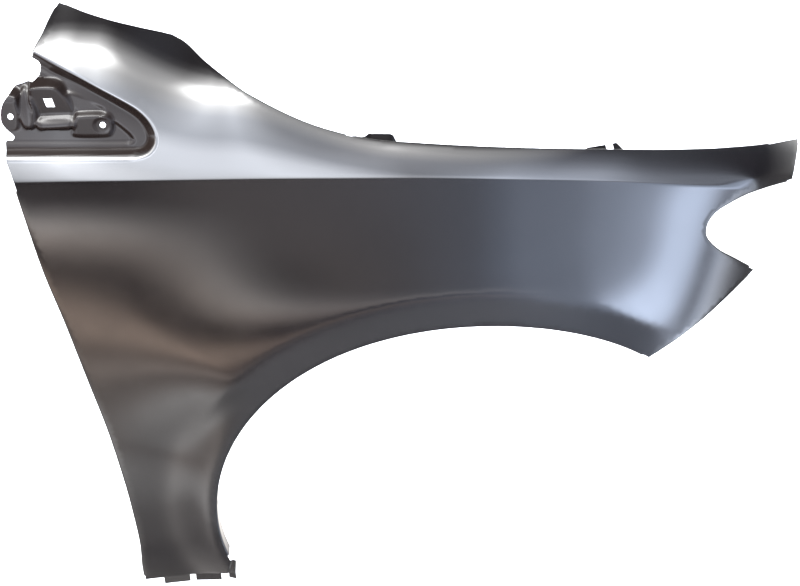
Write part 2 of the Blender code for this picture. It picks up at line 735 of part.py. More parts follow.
    @staticmethod
    def strip_holes(rows, shares, size):
        """Round holes in the middle of a return's leg: centre, axis, diameter and length."""
        holes = []
        for share in shares:
            place = share * (len(rows) - 1)
            index = min(int(place), len(rows) - 2)
            left, right = rows[index], rows[index + 1]
            corners = [left[-2].co, left[-1].co, right[-1].co, right[-2].co]
            centre = sum(corners, Vector()) / len(corners)
            axis = (corners[1] - corners[0]).cross(corners[3] - corners[0]).normalized()
            holes.append((centre, axis, size, 0))
        return holes

    def add_gutter(self):
        """The hood edge: a wall down into the gutter, and a shelf with its bolt tabs."""
        square = math.pi / 2
        rear = [i for i in self.run_within("hood")
                if self.outline[i][0] < reach(GUTTER_START_SHARE) - TAB_RAMP / 2]
        self.strip(rear, [self.folded(i, square, ARM_RETURN) for i in rear])
        run = [i for i in self.run_within("hood")
               if reach(GUTTER_START_SHARE) <= self.outline[i][0] <= reach(GUTTER_END_SHARE)]
        tabs = []
        for centre, half, tab_reach, depth in self.gutter_tabs():
            above = [self.skin[i].co for i in run]
            lowest = min(p.z for p in above if abs(p.x - centre) < half + SHEET_THICKNESS)
            tabs.append((centre, half, tab_reach, lowest - depth))
        columns = []
        for index in run:
            corner, out, normal, along = self.frame(index)
            level = Vector((0, 0, 1)).cross(along).normalized()
            down = along.cross(level).normalized()
            down = down if down.z < 0 else -down
            angle = out.angle(down)
            column = arc(corner, out, normal, angle, FOLD_RADIUS)
            floor = corner.z - GUTTER_DEPTH
            shelf = blended(corner.x, SHELF_WIDTH_SHARES, SHELF_WIDTH)
            for centre, half, tab_reach, height in tabs:
                share = ease(1 - (abs(corner.x - centre) - half) / TAB_RAMP)
                floor += (height - floor) * share
                shelf += (tab_reach - shelf) * share
            foot = column[-1].copy()
            foot.z = floor + FOLD_RADIUS
            column.append(foot)
            for step in range(1, FOLD_STEPS + 1):
                turn = math.pi / 2 * step / FOLD_STEPS
                column.append(foot + level * FOLD_RADIUS * (1 - math.cos(turn))
                              - Vector((0, 0, FOLD_RADIUS * math.sin(turn))))
            column.append(column[-1] + level * shelf)
            columns.append(column)
        rows = self.strip(run, columns)
        self.gutter_holes(run, rows, tabs)

    def gutter_holes(self, run, rows, tabs):
        """A round hole in the rear tab, and a slot that opens at the edge of the front one."""
        for (centre, half, tab_reach, height), open_slot in zip(tabs, (False, True)):
            inner = [row[-2].co for i, row in zip(run, rows)
                     if abs(self.outline[i][0] - centre) < half + SHEET_THICKNESS]
            share = (centre - inner[0].x) / (inner[-1].x - inner[0].x)
            place = inner[0].lerp(inner[-1], share) + Vector((0, TAB_HOLE_INSET, 0))
            place.z = height
            self.holes.append((place, Vector((0, 0, 1)), TAB_BOLT_HOLE, tab_reach * open_slot))
            if not open_slot:
                self.seat = place - Vector((TAB_BOLT_HOLE, 0, SHEET_THICKNESS))

    def add_sill_tabs(self):
        """Two tabs under the sill, set in behind the skin, with a gap between them."""
        slope = math.pi / 4
        for front, back in self.sill_tab_spans():
            run = [i for i in self.runs["sill"]
                   if back - SHEET_THICKNESS <= self.outline[i][0] <= front + SHEET_THICKNESS]
            columns = []
            for index in run:
                corner, out, normal, _ = self.frame(index)
                column = arc(corner, out, normal, slope, FOLD_RADIUS)
                leg = math.cos(slope) * out - math.sin(slope) * normal
                column.append(column[-1] + leg * SILL_JOGGLE)
                columns.append(column)
            first, last = columns[0][-1], columns[-1][-1]
            down = Vector((0, 0, -1))
            for index, column in zip(run, columns):
                share = (self.outline[index][0] - self.outline[run[0]][0]) / (
                    self.outline[run[-1]][0] - self.outline[run[0]][0])
                column[-1] = first.lerp(last, share)
                column.append(column[-1] + down * SILL_TAB_REACH)
            self.strip(run, columns)

    def add_recess_holes(self):
        seats = ((self.recess.bolt_seat, self.recess.bolt_pad),
                 (self.recess.latch_seat, self.recess.latch_pad))
        for point, pad in seats:
            self.holes.append((self.recess.place(point), pad.normal, TRIM_HOLE, 0))
        self.window = (self.recess.place(self.recess.window), self.recess.trim_pad.normal)

    def finish(self):
        bmesh.ops.recalc_face_normals(self.mesh, faces=self.mesh.faces)
        outer = min(self.mesh.faces, key=lambda f: f.calc_center_median().y)
        if outer.normal.y > 0:
            bmesh.ops.reverse_faces(self.mesh, faces=self.mesh.faces)
        bmesh.ops.triangulate(self.mesh, faces=self.mesh.faces)


def arc(corner, out, normal, angle, radius):
    """Points round a fold, from the skin's edge to the start of the leg."""
    points = []
    for step in range(1, FOLD_STEPS + 1):
        turn = angle * step / FOLD_STEPS
        points.append(corner + radius * (math.sin(turn) * out - (1 - math.cos(turn)) * normal))
    return points


def clear_scene():
    for item in list(bpy.data.objects):
        bpy.data.objects.remove(item, do_unlink=True)


def collection(name):
    made = bpy.data.collections.new(name)
    bpy.context.scene.collection.children.link(made)
    return made


def coated_steel():
    """Black primer over pressed steel."""
    material = bpy.data.materials.new("coated_steel")
    material.use_nodes = True
    shader = material.node_tree.nodes["Principled BSDF"]
    shader.inputs["Base Color"].default_value = (0.028, 0.024, 0.026, 1)
    shader.inputs["Roughness"].default_value = 0.32
    shader.inputs["Metallic"].default_value = 0.0
    material.diffuse_color = (0.16, 0.15, 0.16, 1)
    material.roughness = 0.32
    return material


def round_cutter(place, axis, size, slot, group):
    """A cylinder through the sheet, drawn out towards the car's middle where it is a slot."""
    turned = axis.to_track_quat("Z", "Y").to_matrix().to_4x4()
    tool = bmesh.new()
    bmesh.ops.create_cone(tool, cap_ends=True, segments=16, radius1=size / 2, radius2=size / 2,
                          depth=2 * CUT_OVERRUN)
    for vert in tool.verts:
        if (turned.to_3x3() @ vert.co).y > 0:
            vert.co += turned.to_3x3().inverted() @ Vector((0, slot, 0))
    mesh = bpy.data.meshes.new("hole")
    tool.to_mesh(mesh)
    tool.free()
    return add_cutter(mesh, Matrix.Translation(place) @ turned, group)


def window_cutter(place, normal, group):
    """A square bar through the clip window."""
    turned = normal.to_track_quat("Z", "X").to_matrix().to_4x4()
    tool = bmesh.new()
    bmesh.ops.create_cube(tool, size=1)
    bmesh.ops.scale(tool, vec=(CLIP_WINDOW, CLIP_WINDOW, 2 * CUT_OVERRUN), verts=tool.verts)
    mesh = bpy.data.meshes.new("window")
    tool.to_mesh(mesh)
    tool.free()
    return add_cutter(mesh, Matrix.Translation(place) @ turned, group)


def add_cutter(mesh, matrix, group):
    cutter = bpy.data.objects.new(mesh.name, mesh)
    cutter.matrix_local = matrix
    cutter.hide_render = True
    cutter.display_type = "WIRE"
    group.objects.link(cutter)
    return cutter


def seat_at_origin(seat, parts, objects):
    """Hangs the panel and its cutters on the wheel's centre, placed from the rear bolt tab."""
    wheel_centre = bpy.data.objects.new("wheel_centre", None)
    wheel_centre.location = -seat
    parts.objects.link(wheel_centre)
    for item in objects:
        item.parent = wheel_centre


def build_panel(parts, cutters):
    fender = Fender()
    fender.add_returns()
    fender.add_gutter()
    fender.add_sill_tabs()
    fender.add_heel_lug()
    fender.add_recess_holes()
    fender.finish()
    mesh = bpy.data.meshes.new("fender_panel")
    fender.mesh.to_mesh(mesh)
    fender.mesh.free()
    mesh.materials.append(coated_steel())
    mesh.shade_smooth()
    mesh.set_sharp_from_angle(angle=30 * DEG)
    panel = bpy.data.objects.new("fender_panel", mesh)
    parts.objects.link(panel)
    thickness = panel.modifiers.new("thickness", "SOLIDIFY")
    thickness.thickness = SHEET_THICKNESS
    thickness.offset = -1
    thickness.use_even_offset = True
    thickness.use_quality_normals = True
    for place, axis, size, slot in fender.holes:
        round_cutter(place, axis, size, slot, cutters)
    window_cutter(*fender.window, cutters)
    holes = panel.modifiers.new("holes", "BOOLEAN")
    holes.operation = "DIFFERENCE"
    holes.operand_type = "COLLECTION"
    holes.collection = cutters
    holes.solver = "EXACT"
    seat_at_origin(fender.seat, parts, [panel] + list(cutters.objects))


def main():
    clear_scene()
    parts = collection("car_fender")
    cutters = collection("cutters")
    build_panel(parts, cutters)


if __name__ == "__main__":
    main()
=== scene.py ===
"""Front fender of a car, dressed for close views: the pressed sheet with all its fine form.

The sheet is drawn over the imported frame, from the same surface as the frame's own panel: a flat
blank is divided finely, pressed, folded along its edges and given its thickness. Lengths in the
tables are metres from the wheel's centre, +X to the front of the car, +Y to its middle, +Z up.
"""

import math

import bmesh
import bpy
import numpy as np
from bpy.props import (
    FloatProperty, FloatVectorProperty, IntProperty, PointerProperty,
)
from mathutils import Matrix, Vector
from mathutils.geometry import delaunay_2d_cdt


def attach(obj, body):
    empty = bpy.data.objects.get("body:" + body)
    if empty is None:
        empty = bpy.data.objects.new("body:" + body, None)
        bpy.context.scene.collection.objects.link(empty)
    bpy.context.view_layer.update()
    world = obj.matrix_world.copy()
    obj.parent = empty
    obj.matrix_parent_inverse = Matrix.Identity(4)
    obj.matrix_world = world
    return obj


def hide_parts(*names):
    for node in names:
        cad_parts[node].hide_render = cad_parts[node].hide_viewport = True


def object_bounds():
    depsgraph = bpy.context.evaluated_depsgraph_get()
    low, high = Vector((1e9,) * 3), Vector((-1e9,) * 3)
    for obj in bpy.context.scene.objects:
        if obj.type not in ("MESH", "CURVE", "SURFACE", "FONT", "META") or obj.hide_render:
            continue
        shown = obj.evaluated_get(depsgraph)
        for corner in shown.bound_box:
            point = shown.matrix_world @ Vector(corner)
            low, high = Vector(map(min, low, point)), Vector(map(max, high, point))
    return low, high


bl_info = {
    "name": "Car Fender Finish",
    "version": (1, 0, 0),
    "blender": (4, 5, 0),
    "location": "3D View > Sidebar > Fender",
    "description": "Builds a pressed steel fender with its coat, and a plain studio round it",
    "category": "Object",
}

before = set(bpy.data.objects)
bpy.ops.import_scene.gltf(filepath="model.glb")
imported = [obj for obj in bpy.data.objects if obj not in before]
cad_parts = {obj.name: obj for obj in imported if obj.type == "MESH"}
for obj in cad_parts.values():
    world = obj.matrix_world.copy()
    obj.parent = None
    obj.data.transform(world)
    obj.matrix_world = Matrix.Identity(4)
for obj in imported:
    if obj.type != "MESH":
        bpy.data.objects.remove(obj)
CAD_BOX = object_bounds()

MM = 0.001
DEG = math.pi / 180

# The least number to divide by, and how many points are compared with a line at once
TINY = 1e-18
CHUNK_SIZE = 4000

# The frame's origin lies at the hood gutter's rear bolt tab, away from the wheel's centre
WHEEL_CENTRE = (124.5 * MM, -87.25 * MM, -567.83 * MM)

# The wheel arch, and what the panel reaches beyond its edge
ARCH_RADIUS = 350 * MM
ARCH_FRONT_ANGLE = 47 * DEG
ARCH_REAR_ANGLE = 195 * DEG
REAR_REACH = 550 * MM
FRONT_REACH = 430 * MM
SHOULDER_RISE = 250 * MM
SIDE_DROP = 720 * MM
HEEL_SETBACK = 9 * MM

# The outer surface
CREASE_HEIGHT = 553.5 * MM
CREASE_DIP_FRONT = 97 * MM
CREASE_DIP_REAR = 4.5 * MM
CREASE_DIP_REACH = 520 * MM
CREASE_TURN = -160 * MM
CREASE_FRONT_CURVE = 2.7
NOSE_SWEEP = 140 * MM
NOSE_LENGTH = 600 * MM
NOSE_START = -200 * MM
SIDE_INSET_REAR = 5 * MM
SIDE_INSET_MIDDLE = 12 * MM
SIDE_INSET_FRONT = 26 * MM
SIDE_RADIUS = 4500 * MM
SIDE_RADIUS_HIGH = 6000 * MM
BELLY_HEIGHT = 130 * MM
SILL_TUCK_HEIGHT = -40 * MM
SILL_TUCK_RADIUS = 600 * MM
CROWN_DEPTH = 5 * MM
CROWN_REACH = 45 * MM
CROWN_FRONT_LOSS = 0.4

# The flared band round the arch
BAND_WIDTH_FRONT = 43 * MM
BAND_WIDTH_TOP = 51 * MM
BAND_TUCK = 3 * MM
BAND_FADE = 140 * MM
BAND_EDGE = 4 * MM
BAND_SOFT_FADE = 40 * MM
BAND_END_ANGLE = 138 * DEG
BAND_END_BLEND = 25 * DEG
LOW_TURN_IN = 12 * MM
LOW_TURN_REACH = 160 * MM
LEAST_CREASE_GAP = 0.01 * MM

# The shoulder above the crease: its lean from upright and its radius, along the car
LEAN_SHARES = ((-0.91, 0.48), (-0.55, 0.65), (0.0, 1.0), (0.46, 0.83), (0.93, 0.43))
SHOULDER_LEAN = 46 * DEG
ROLL_SHARES = ((-0.82, 1.0), (-0.55, 0.79), (-0.18, 0.42), (0.23, 0.42), (0.93, 0.37))
SHOULDER_RADIUS = 215 * MM

# The trim recess
RECESS_LENGTH = 180 * MM
RECESS_HEIGHT = 140 * MM
RECESS_RISE = 24 * MM
LOW_WALL_SHARE = 0.2
PLATE_STEP_SHARE = (0.06, 0.50)
SEAT_RADIUS = 10 * MM
TRIM_HOLE = 7 * MM
CLIP_WINDOW = 10 * MM
CLIP_WINDOW_SLANT = 1.5 * MM
WELL_SLOPE = 5 * MM
RIM_BEAD_INSET = 3.4 * MM
RIM_BEAD_WIDTH = 1.2 * MM
RIM_BEAD_START = 14 * MM
LOOP_BEAD_HEIGHT = 7 * MM
LOOP_BEAD_SLOPE = 9 * MM
LOOP_BEAD_SPACING = 3 * MM
ROLL_RADIUS = 8 * MM
PLATE_STEP = 1.4 * MM
PLATE_STEP_SLOPE = 1.5 * MM
PLATE_STEP_END = 4 * MM
SEAT_SLOPE = 1.6 * MM

# How far the coat's sheen is dimmed in the recess, partly a duller coat and partly painted shade
# that is darkest on the lower wall, and how softly it ends at the rim, at the foot of the lower
# wall and up the side
FLOOR_DULL_SHADE = 0.88
DULL_SHADE_RIM_INSET = 0.5 * MM
DULL_SHADE_RIM_BLEND = 2.5 * MM
DULL_SHADE_FOOT_BLEND = 2 * MM
DULL_SHADE_LOW_BLEND = 10 * MM

# The folded edges
ARM_RETURN = 10 * MM
DOOR_RETURN = 12 * MM
ARCH_RETURN = 16 * MM
BUMPER_RETURN = 17 * MM
LAMP_RETURN = 7 * MM
CORNER_SETBACK = 9 * MM
GUTTER_DEPTH = 12 * MM
SHELF_WIDTH = 18 * MM
TAB_RAMP = 6 * MM
TAB_BOLT_HOLE = 9 * MM
TAB_HOLE_INSET = 11 * MM
SILL_TAB_SETBACK = 11 * MM
SILL_TAB_LENGTH = 41 * MM
SILL_TAB_GAP = 8 * MM
SILL_TAB_REACH = 16 * MM
SILL_JOGGLE = 4.5 * MM
LINER_HOLE = 7 * MM
BUMPER_HOLE = 8 * MM
LUG_JOGGLE = 2 * MM
LUG_TOP_REACH = 5 * MM
LUG_REACH = 11 * MM
LUG_DROP = 10 * MM

# How the mesh is divided, joined, cut and shaded
ROUND_STEPS = 32
WINDOW_SIDE_STEPS = 6
SHELF_STEPS = 5
SILL_TAB_STEPS = 4
LUG_STEPS = 3
LEAST_SPACING_STEPS = 0.72
EDGE_CLEARANCE_STEPS = 1 / 3
FINE_MARGIN_STEPS = 3
MERGE_DISTANCE = 0.4 * MM
CUTTER_LENGTH = 12 * MM
SHARP_ANGLE = 32 * DEG
LEAST_FACES = 1000
CREASE_GUIDE_OFFSETS = (-2.0, -1.0, -0.5, 0.0, 0.5, 1.0, 2.0)
CREASE_GUIDE_END_SHARE = 0.80

# Outlines on the blank, as shares of the reach and of the rise or drop
ARM_TOP_SHARES = (
    (-0.924, 1.015), (-0.862, 0.92), (-0.80, 0.86), (-0.735, 0.837), (-0.672, 0.843),
)
HOOD_EDGE_SHARES = (
    (-0.672, 0.843), (-0.641, 0.79), (-0.593, 0.643), (-0.525, 0.48), (-0.468, 0.388),
    (-0.387, 0.293), (-0.309, 0.232), (-0.22, 0.193), (-0.10, 0.175), (0.02, 0.165),
    (0.234, 0.156), (0.43, 0.163), (0.63, 0.185), (0.76, 0.211), (0.908, 0.264), (1.057, 0.36),
)
TIP_SHARES = ((1.057, 0.36), (1.026, 0.21), (1.005, 0.09))
LAMP_NOTCH_SHARES = (
    (1.005, 0.09), (0.928, 0.049), (0.840, -0.003), (0.763, -0.029), (0.721, -0.048),
    (0.699, -0.070), (0.699, -0.092), (0.720, -0.108), (0.761, -0.124), (0.822, -0.139),
    (0.898, -0.158),
)
DOOR_EDGE_SHARES = (
    (-0.860, -0.986), (-0.855, -0.93), (-0.846, -0.850), (-0.848, -0.758), (-0.855, -0.66),
    (-0.872, -0.53), (-0.897, -0.405), (-0.925, -0.275), (-0.951, -0.172), (-0.972, -0.060),
    (-0.984, 0.0),
)
DOOR_TOP_SHARES = ((-0.984, 0.0), (-0.992, 0.06), (-0.999, 0.108))
SILL_FRONT_SHARE = -0.941

# Edges between two corners of the blank, as shares of the way along the car and up
BUMPER_EDGE_SHARES = ((0.0, 0.0), (0.184, 0.200), (0.475, 0.491), (0.732, 0.723), (1.0, 1.0))
SILL_SHARES = ((0.0, 0.0), (0.408, 0.512), (0.723, 0.778), (1.0, 1.0))
ARM_END_SHARES = ((0.0, 0.0), (0.12, 0.12), (0.309, 0.238), (0.623, 0.449), (1.0, 1.0))

# Outlines in the recess, as shares of its length and height
RAW_EDGE_SHARES = (
    (-0.016, 0.115), (0.027, 0.121), (0.036, 0.155), (-0.004, 0.205), (-0.038, 0.275),
    (-0.043, 0.36), (-0.030, 0.455), (0.000, 0.535), (0.041, 0.588), (0.105, 0.620),
    (0.180, 0.665), (0.197, 0.740), (0.184, 0.831), (0.135, 0.880),
)
RIM_SHARES = (
    (-0.30, 1.38), (0.143, 0.993), (0.302, 0.858), (0.439, 0.751), (0.605, 0.620),
    (0.757, 0.508), (0.854, 0.427), (0.931, 0.324), (0.970, 0.225), (0.977, 0.154),
    (0.961, 0.093), (0.913, 0.038), (0.826, 0.010), (0.720, 0.006), (0.355, 0.014),
    (-0.30, 0.030),
)
FOOT_SHARES = (
    (-0.30, 1.20), (0.178, 0.796), (0.262, 0.724), (0.430, 0.618), (0.551, 0.530),
    (0.704, 0.415), (0.812, 0.327), (0.867, 0.255), (0.900, 0.170), (0.905, 0.113),
    (0.885, 0.066), (0.840, 0.048), (0.760, 0.050), (0.339, 0.064), (-0.30, 0.080),
)
WELL_SHARES = (
    (-0.30, 1.05), (0.206, 0.700), (0.309, 0.620), (0.409, 0.544), (0.508, 0.465),
    (0.618, 0.355), (0.726, 0.251), (0.802, 0.165), (0.826, 0.105), (0.800, 0.072),
    (0.72, 0.066), (0.337, 0.078), (-0.30, 0.095),
)
TRIM_PAD_SHARES = (
    (0.163, 0.629), (0.304, 0.625), (0.353, 0.553), (0.392, 0.451), (0.412, 0.344),
    (0.390, 0.302), (0.230, 0.300), (0.188, 0.357), (0.159, 0.457), (0.146, 0.574),
)
BOLT_PAD_SHARES = (
    (0.447, 0.318), (0.475, 0.336), (0.620, 0.336), (0.661, 0.299), (0.672, 0.240),
    (0.662, 0.175), (0.630, 0.154), (0.455, 0.160), (0.437, 0.190),
)
RIB_SHARES = (
    (0.381, 0.519), (0.424, 0.511), (0.534, 0.429), (0.610, 0.363), (0.460, 0.360), (0.427, 0.410),
)
BEAD_SHARES = (
    (0.078, 0.572), (0.109, 0.586), (0.151, 0.511), (0.186, 0.396), (0.196, 0.285),
    (0.161, 0.218), (0.106, 0.226), (0.076, 0.314), (0.070, 0.456),
)
LATCH_PAD_SHARES = (
    (-0.12, 0.530), (0.040, 0.540), (0.061, 0.455), (0.062, 0.250), (0.010, 0.206), (-0.12, 0.206),
)
ROLL_LINE_SHARES = ((0.225, 0.262), (0.398, 0.268))
BOLT_SEAT_SHARE = (0.618, 0.251)
LATCH_SEAT_SHARE = (0.020, 0.340)
CLIP_WINDOW_SHARE = (0.271, 0.455)
# The outline and centre of each pad, its rise above the well, its lean and its skirt's width
PADS = (
    (RIB_SHARES, None, 3 * MM, 34 * DEG, 4 * MM),
    (TRIM_PAD_SHARES, CLIP_WINDOW_SHARE, 7 * MM, 20 * DEG, 4 * MM),
    (BOLT_PAD_SHARES, BOLT_SEAT_SHARE, 6 * MM, 24 * DEG, 3.5 * MM),
    (LATCH_PAD_SHARES, LATCH_SEAT_SHARE, 6 * MM, 24 * DEG, 4 * MM),
)

# Places along the hood edge, as shares of the reach, and along the returns
GUTTER_START_SHARE = -0.27
GUTTER_END_SHARE = 0.92
SHELF_WIDTH_SHARES = (
    (-0.27, 0.9), (-0.17, 0.9), (0.0, 0.9), (0.06, 0.5), (0.80, 0.5), (0.92, 0.3),
)
# The share, half length, reach and depth of each bolt tab on the gutter's shelf, and how far its
# hole is drawn out to a slot, as a share of the tab's reach
GUTTER_TABS = (
    (-0.21, 15 * MM, 29 * MM, 9.86 * MM, 0),
    (0.39, 21 * MM, 26 * MM, 7.24 * MM, 1),
)
LINER_HOLE_SHARES = (0.08, 0.27, 0.47, 0.68, 0.88)
BUMPER_HOLE_SHARES = (0.2, 0.8)


class FenderSheet(bpy.types.PropertyGroup):
    """Sizes of the steel sheet, and how finely it is divided."""

    thickness: FloatProperty(
        name="Sheet thickness", description="Thickness of the steel sheet",
        default=0.8 * MM, min=0.4 * MM, max=2 * MM, unit="LENGTH")
    fold_radius: FloatProperty(
        name="Fold radius", description="Radius of the folds along the edges",
        default=2.4 * MM, min=0.5 * MM, max=6 * MM, unit="LENGTH")
    fold_steps: IntProperty(
        name="Fold steps", description="Faces round each fold", default=6, min=2, max=12)
    crease_radius: FloatProperty(
        name="Crease softness", description="How far the shoulder crease is rounded to each side",
        default=2.6 * MM, min=0.5 * MM, max=10 * MM, unit="LENGTH")
    panel_step: FloatProperty(
        name="Panel spacing", description="Spacing of the mesh over the open panel",
        default=6 * MM, min=3 * MM, max=30 * MM, unit="LENGTH")
    edge_step: FloatProperty(
        name="Edge spacing", description="Spacing of the mesh along the folded edges",
        default=4 * MM, min=2 * MM, max=16 * MM, unit="LENGTH")
    recess_step: FloatProperty(
        name="Recess spacing", description="Spacing of the mesh in the trim recess",
        default=1.5 * MM, min=1 * MM, max=6 * MM, unit="LENGTH")


class TrimRecess(bpy.types.PropertyGroup):
    """Depths of the forms pressed into the trim recess."""

    depth: FloatProperty(
        name="Recess depth", description="Depth of the recess floor below the shoulder",
        default=15 * MM, unit="LENGTH")
    well_depth: FloatProperty(
        name="Well depth", description="Depth of the well below the recess floor",
        default=4 * MM, unit="LENGTH")
    bead_height: FloatProperty(
        name="Rim bead", description="Height of the fine bead that follows the upper rim",
        default=0.9 * MM, unit="LENGTH")
    seat_step: FloatProperty(
        name="Seat step", description="Depth of the round seat at the bolt hole",
        default=0.8 * MM, unit="LENGTH")


class CoatFinish(bpy.types.PropertyGroup):
    """The black primer coat on the steel."""

    colour: FloatVectorProperty(
        name="Coat colour", description="Colour of the primer coat", subtype="COLOR",
        size=3, min=0, max=1, default=(0.0032, 0.0028, 0.0030))
    gloss: FloatProperty(
        name="Roughness", description="Roughness of the coat, from mirror to matt",
        default=0.10, min=0, max=1, subtype="FACTOR")
    peel: FloatProperty(
        name="Orange peel", description="Strength of the coat's fine ripple",
        default=0.02, min=0, max=1, subtype="FACTOR")
    # The sheen left where the recess mark is full, on its lower wall: painted shade as well as a
    # thinner coat
    recess_shaded_sheen: FloatProperty(
        name="Recess sheen", description="How much the thinner coat in the recess reflects",
        default=0.01, min=0.0, max=1.0)


class StudioLook(bpy.types.PropertyGroup):
    """The floor, the glow all round and the camera."""

    floor_colour: FloatVectorProperty(
        name="Floor colour", description="Colour of the plain floor", subtype="COLOR",
        size=3, min=0, max=1, default=(0.90, 0.90, 0.91))
    floor_drop: FloatProperty(
        name="Floor drop", description="Gap between the panel's lowest point and the floor",
        default=0, unit="LENGTH")
    glow: FloatProperty(
        name="Glow", description="Strength of the soft light all round", default=13, min=0)
    lens: FloatProperty(
        name="Lens", description="The camera's focal length", default=58.5, min=20, max=200,
        unit="CAMERA")


def reach(share):
    """A place along the car from a share of the rear or front reach."""
    return share * (REAR_REACH if share < 0 else FRONT_REACH)


def blank_point(share):
    along, up = share
    return reach(along), up * (SHOULDER_RISE if up > 0 else SIDE_DROP)


def between(start, end, shares):
    """Points of the blank at shares of the way from one corner to another."""
    return [(start[0] + along * (end[0] - start[0]), start[1] + up * (end[1] - start[1]))
            for along, up in shares]


def recess_point(share):
    along, up = share
    return along * RECESS_LENGTH - REAR_REACH, RECESS_RISE + up * RECESS_HEIGHT


def ease(share):
    share = np.clip(share, 0, 1)
    return share * share * (3 - 2 * share)


def blended(x, stations, full):
    """The values at x of a table of (reach share, value share) stations, eased between them."""
    places = [reach(share) for share, _ in stations]
    values = [value for _, value in stations]
    result = np.full(np.shape(x), values[0], dtype=float)
    for start, end, here, there in zip(places, places[1:], values, values[1:]):
        result += (there - here) * ease((x - start) / (end - start))
    return result * full


def smooth_span(before, start, end, after, step):
    """Points about one step apart on a smooth curve from start to end, without the start."""
    count = max(1, round(math.dist(start, end) / step))
    span = []
    for index in range(1, count + 1):
        t = index / count
        span.append(tuple(
            0.5 * ((2 * b) + (c - a) * t + (2 * a - 5 * b + 4 * c - d) * t * t
                   + (3 * b - a - 3 * c + d) * t ** 3)
            for a, b, c, d in zip(before, start, end, after)))
    return span


def smooth_line(points, step):
    """An open smooth curve through the points."""
    ends = [points[0]] + list(points) + [points[-1]]
    line = [tuple(points[0])]
    for four in zip(ends, ends[1:], ends[2:], ends[3:]):
        line += smooth_span(*four, step)
    return line


def smooth_loop(points, step):
    """A closed smooth curve through the points, without a repeated end."""
    count = len(points)
    loop = []
    for index in range(count):
        four = [points[(index + offset) % count] for offset in (-1, 0, 1, 2)]
        loop += smooth_span(*four, step)
    return loop


def chunks(points):
    """The points in parts that are small enough to be compared with a whole line at once."""
    return np.array_split(points, max(1, len(points) // CHUNK_SIZE))


def line_distance(points, line):
    """How far points of the blank lie from an open line."""
    points = np.atleast_2d(np.asarray(points, dtype=float))
    line = np.asarray(line, dtype=float)
    start, way = line[:-1], line[1:] - line[:-1]
    length = np.maximum((way ** 2).sum(axis=1), TINY)
    distances = []
    for part in chunks(points):
        offset = part[:, None, :] - start[None]
        t = np.clip((offset * way).sum(axis=2) / length, 0, 1)
        distances.append(np.sqrt(((offset - t[..., None] * way) ** 2).sum(axis=2).min(axis=1)))
    return np.concatenate(distances)


def inside_distance(points, loop):
    """How far points of the blank lie inside a closed loop, negative outside it."""
    points = np.atleast_2d(np.asarray(points, dtype=float))
    start = np.asarray(loop, dtype=float)
    end = np.roll(start, -1, axis=0)
    way = end - start
    rise = np.where(way[:, 1] == 0, TINY, way[:, 1])
    inside = []
    for part in chunks(points):
        spans = (start[:, 1] > part[:, None, 1]) != (end[:, 1] > part[:, None, 1])
        crossing = start[:, 0] + way[:, 0] * (part[:, None, 1] - start[:, 1]) / rise
        inside.append((spans & (part[:, None, 0] < crossing)).sum(axis=1) % 2 == 1)
    nearest = line_distance(points, np.concatenate([start, start[:1]]))
    return np.where(np.concatenate(inside), nearest, -nearest)


def crease_height(x):
    ahead = np.maximum(x - CREASE_TURN, 0) / CREASE_DIP_REACH
    behind = np.maximum(CREASE_TURN - x, 0) / (REAR_REACH + CREASE_TURN)
    return (CREASE_HEIGHT - CREASE_DIP_FRONT * ahead ** CREASE_FRONT_CURVE
            - CREASE_DIP_REAR * behind ** 2)


def nose(x):
    return NOSE_SWEEP * (np.maximum(x - NOSE_START, 0) / NOSE_LENGTH) ** 3


def side_inset(x):
    rear = (SIDE_INSET_REAR - SIDE_INSET_MIDDLE) * ease(-x / REAR_REACH)
    front = (SIDE_INSET_FRONT - SIDE_INSET_MIDDLE) * ease(x / FRONT_REACH)
    return SIDE_INSET_MIDDLE + rear + front


def crown(x, below):
    """How the side rolls inwards just under the crease, fading towards the front."""
    depth = CROWN_DEPTH * (1 - CROWN_FRONT_LOSS * ease(x / FRONT_REACH))
    return depth * np.exp(-below / CROWN_REACH)


def body_side(x, z):
    tuck = np.maximum(SILL_TUCK_HEIGHT - z, 0) ** 2 / (2 * SILL_TUCK_RADIUS)
    radius = np.where(z > BELLY_HEIGHT, SIDE_RADIUS_HIGH, SIDE_RADIUS)
    belly = (z - BELLY_HEIGHT) ** 2 / (2 * radius)
    below = np.maximum(crease_height(x) - z, 0)
    return nose(x) + side_inset(x) + belly + tuck + crown(x, below)


def band_width(angle):
    return BAND_WIDTH_FRONT + (BAND_WIDTH_TOP - BAND_WIDTH_FRONT) * ease(
        (angle - ARCH_FRONT_ANGLE) / (math.pi / 2 - ARCH_FRONT_ANGLE))


def arch_line(last_angle, step, width=lambda angle: 0):
    """Points of the blank round the arch from its front end, a width beyond its edge."""
    turn = last_angle - ARCH_FRONT_ANGLE
    count = round(turn * ARCH_RADIUS / step)
    line = []
    for index in range(count + 1):
        angle = ARCH_FRONT_ANGLE + turn * index / count
        distance = ARCH_RADIUS + float(width(angle))
        x = distance * math.cos(angle)
        line.append((x, distance * math.sin(angle) - float(crease_height(x))))
    return line


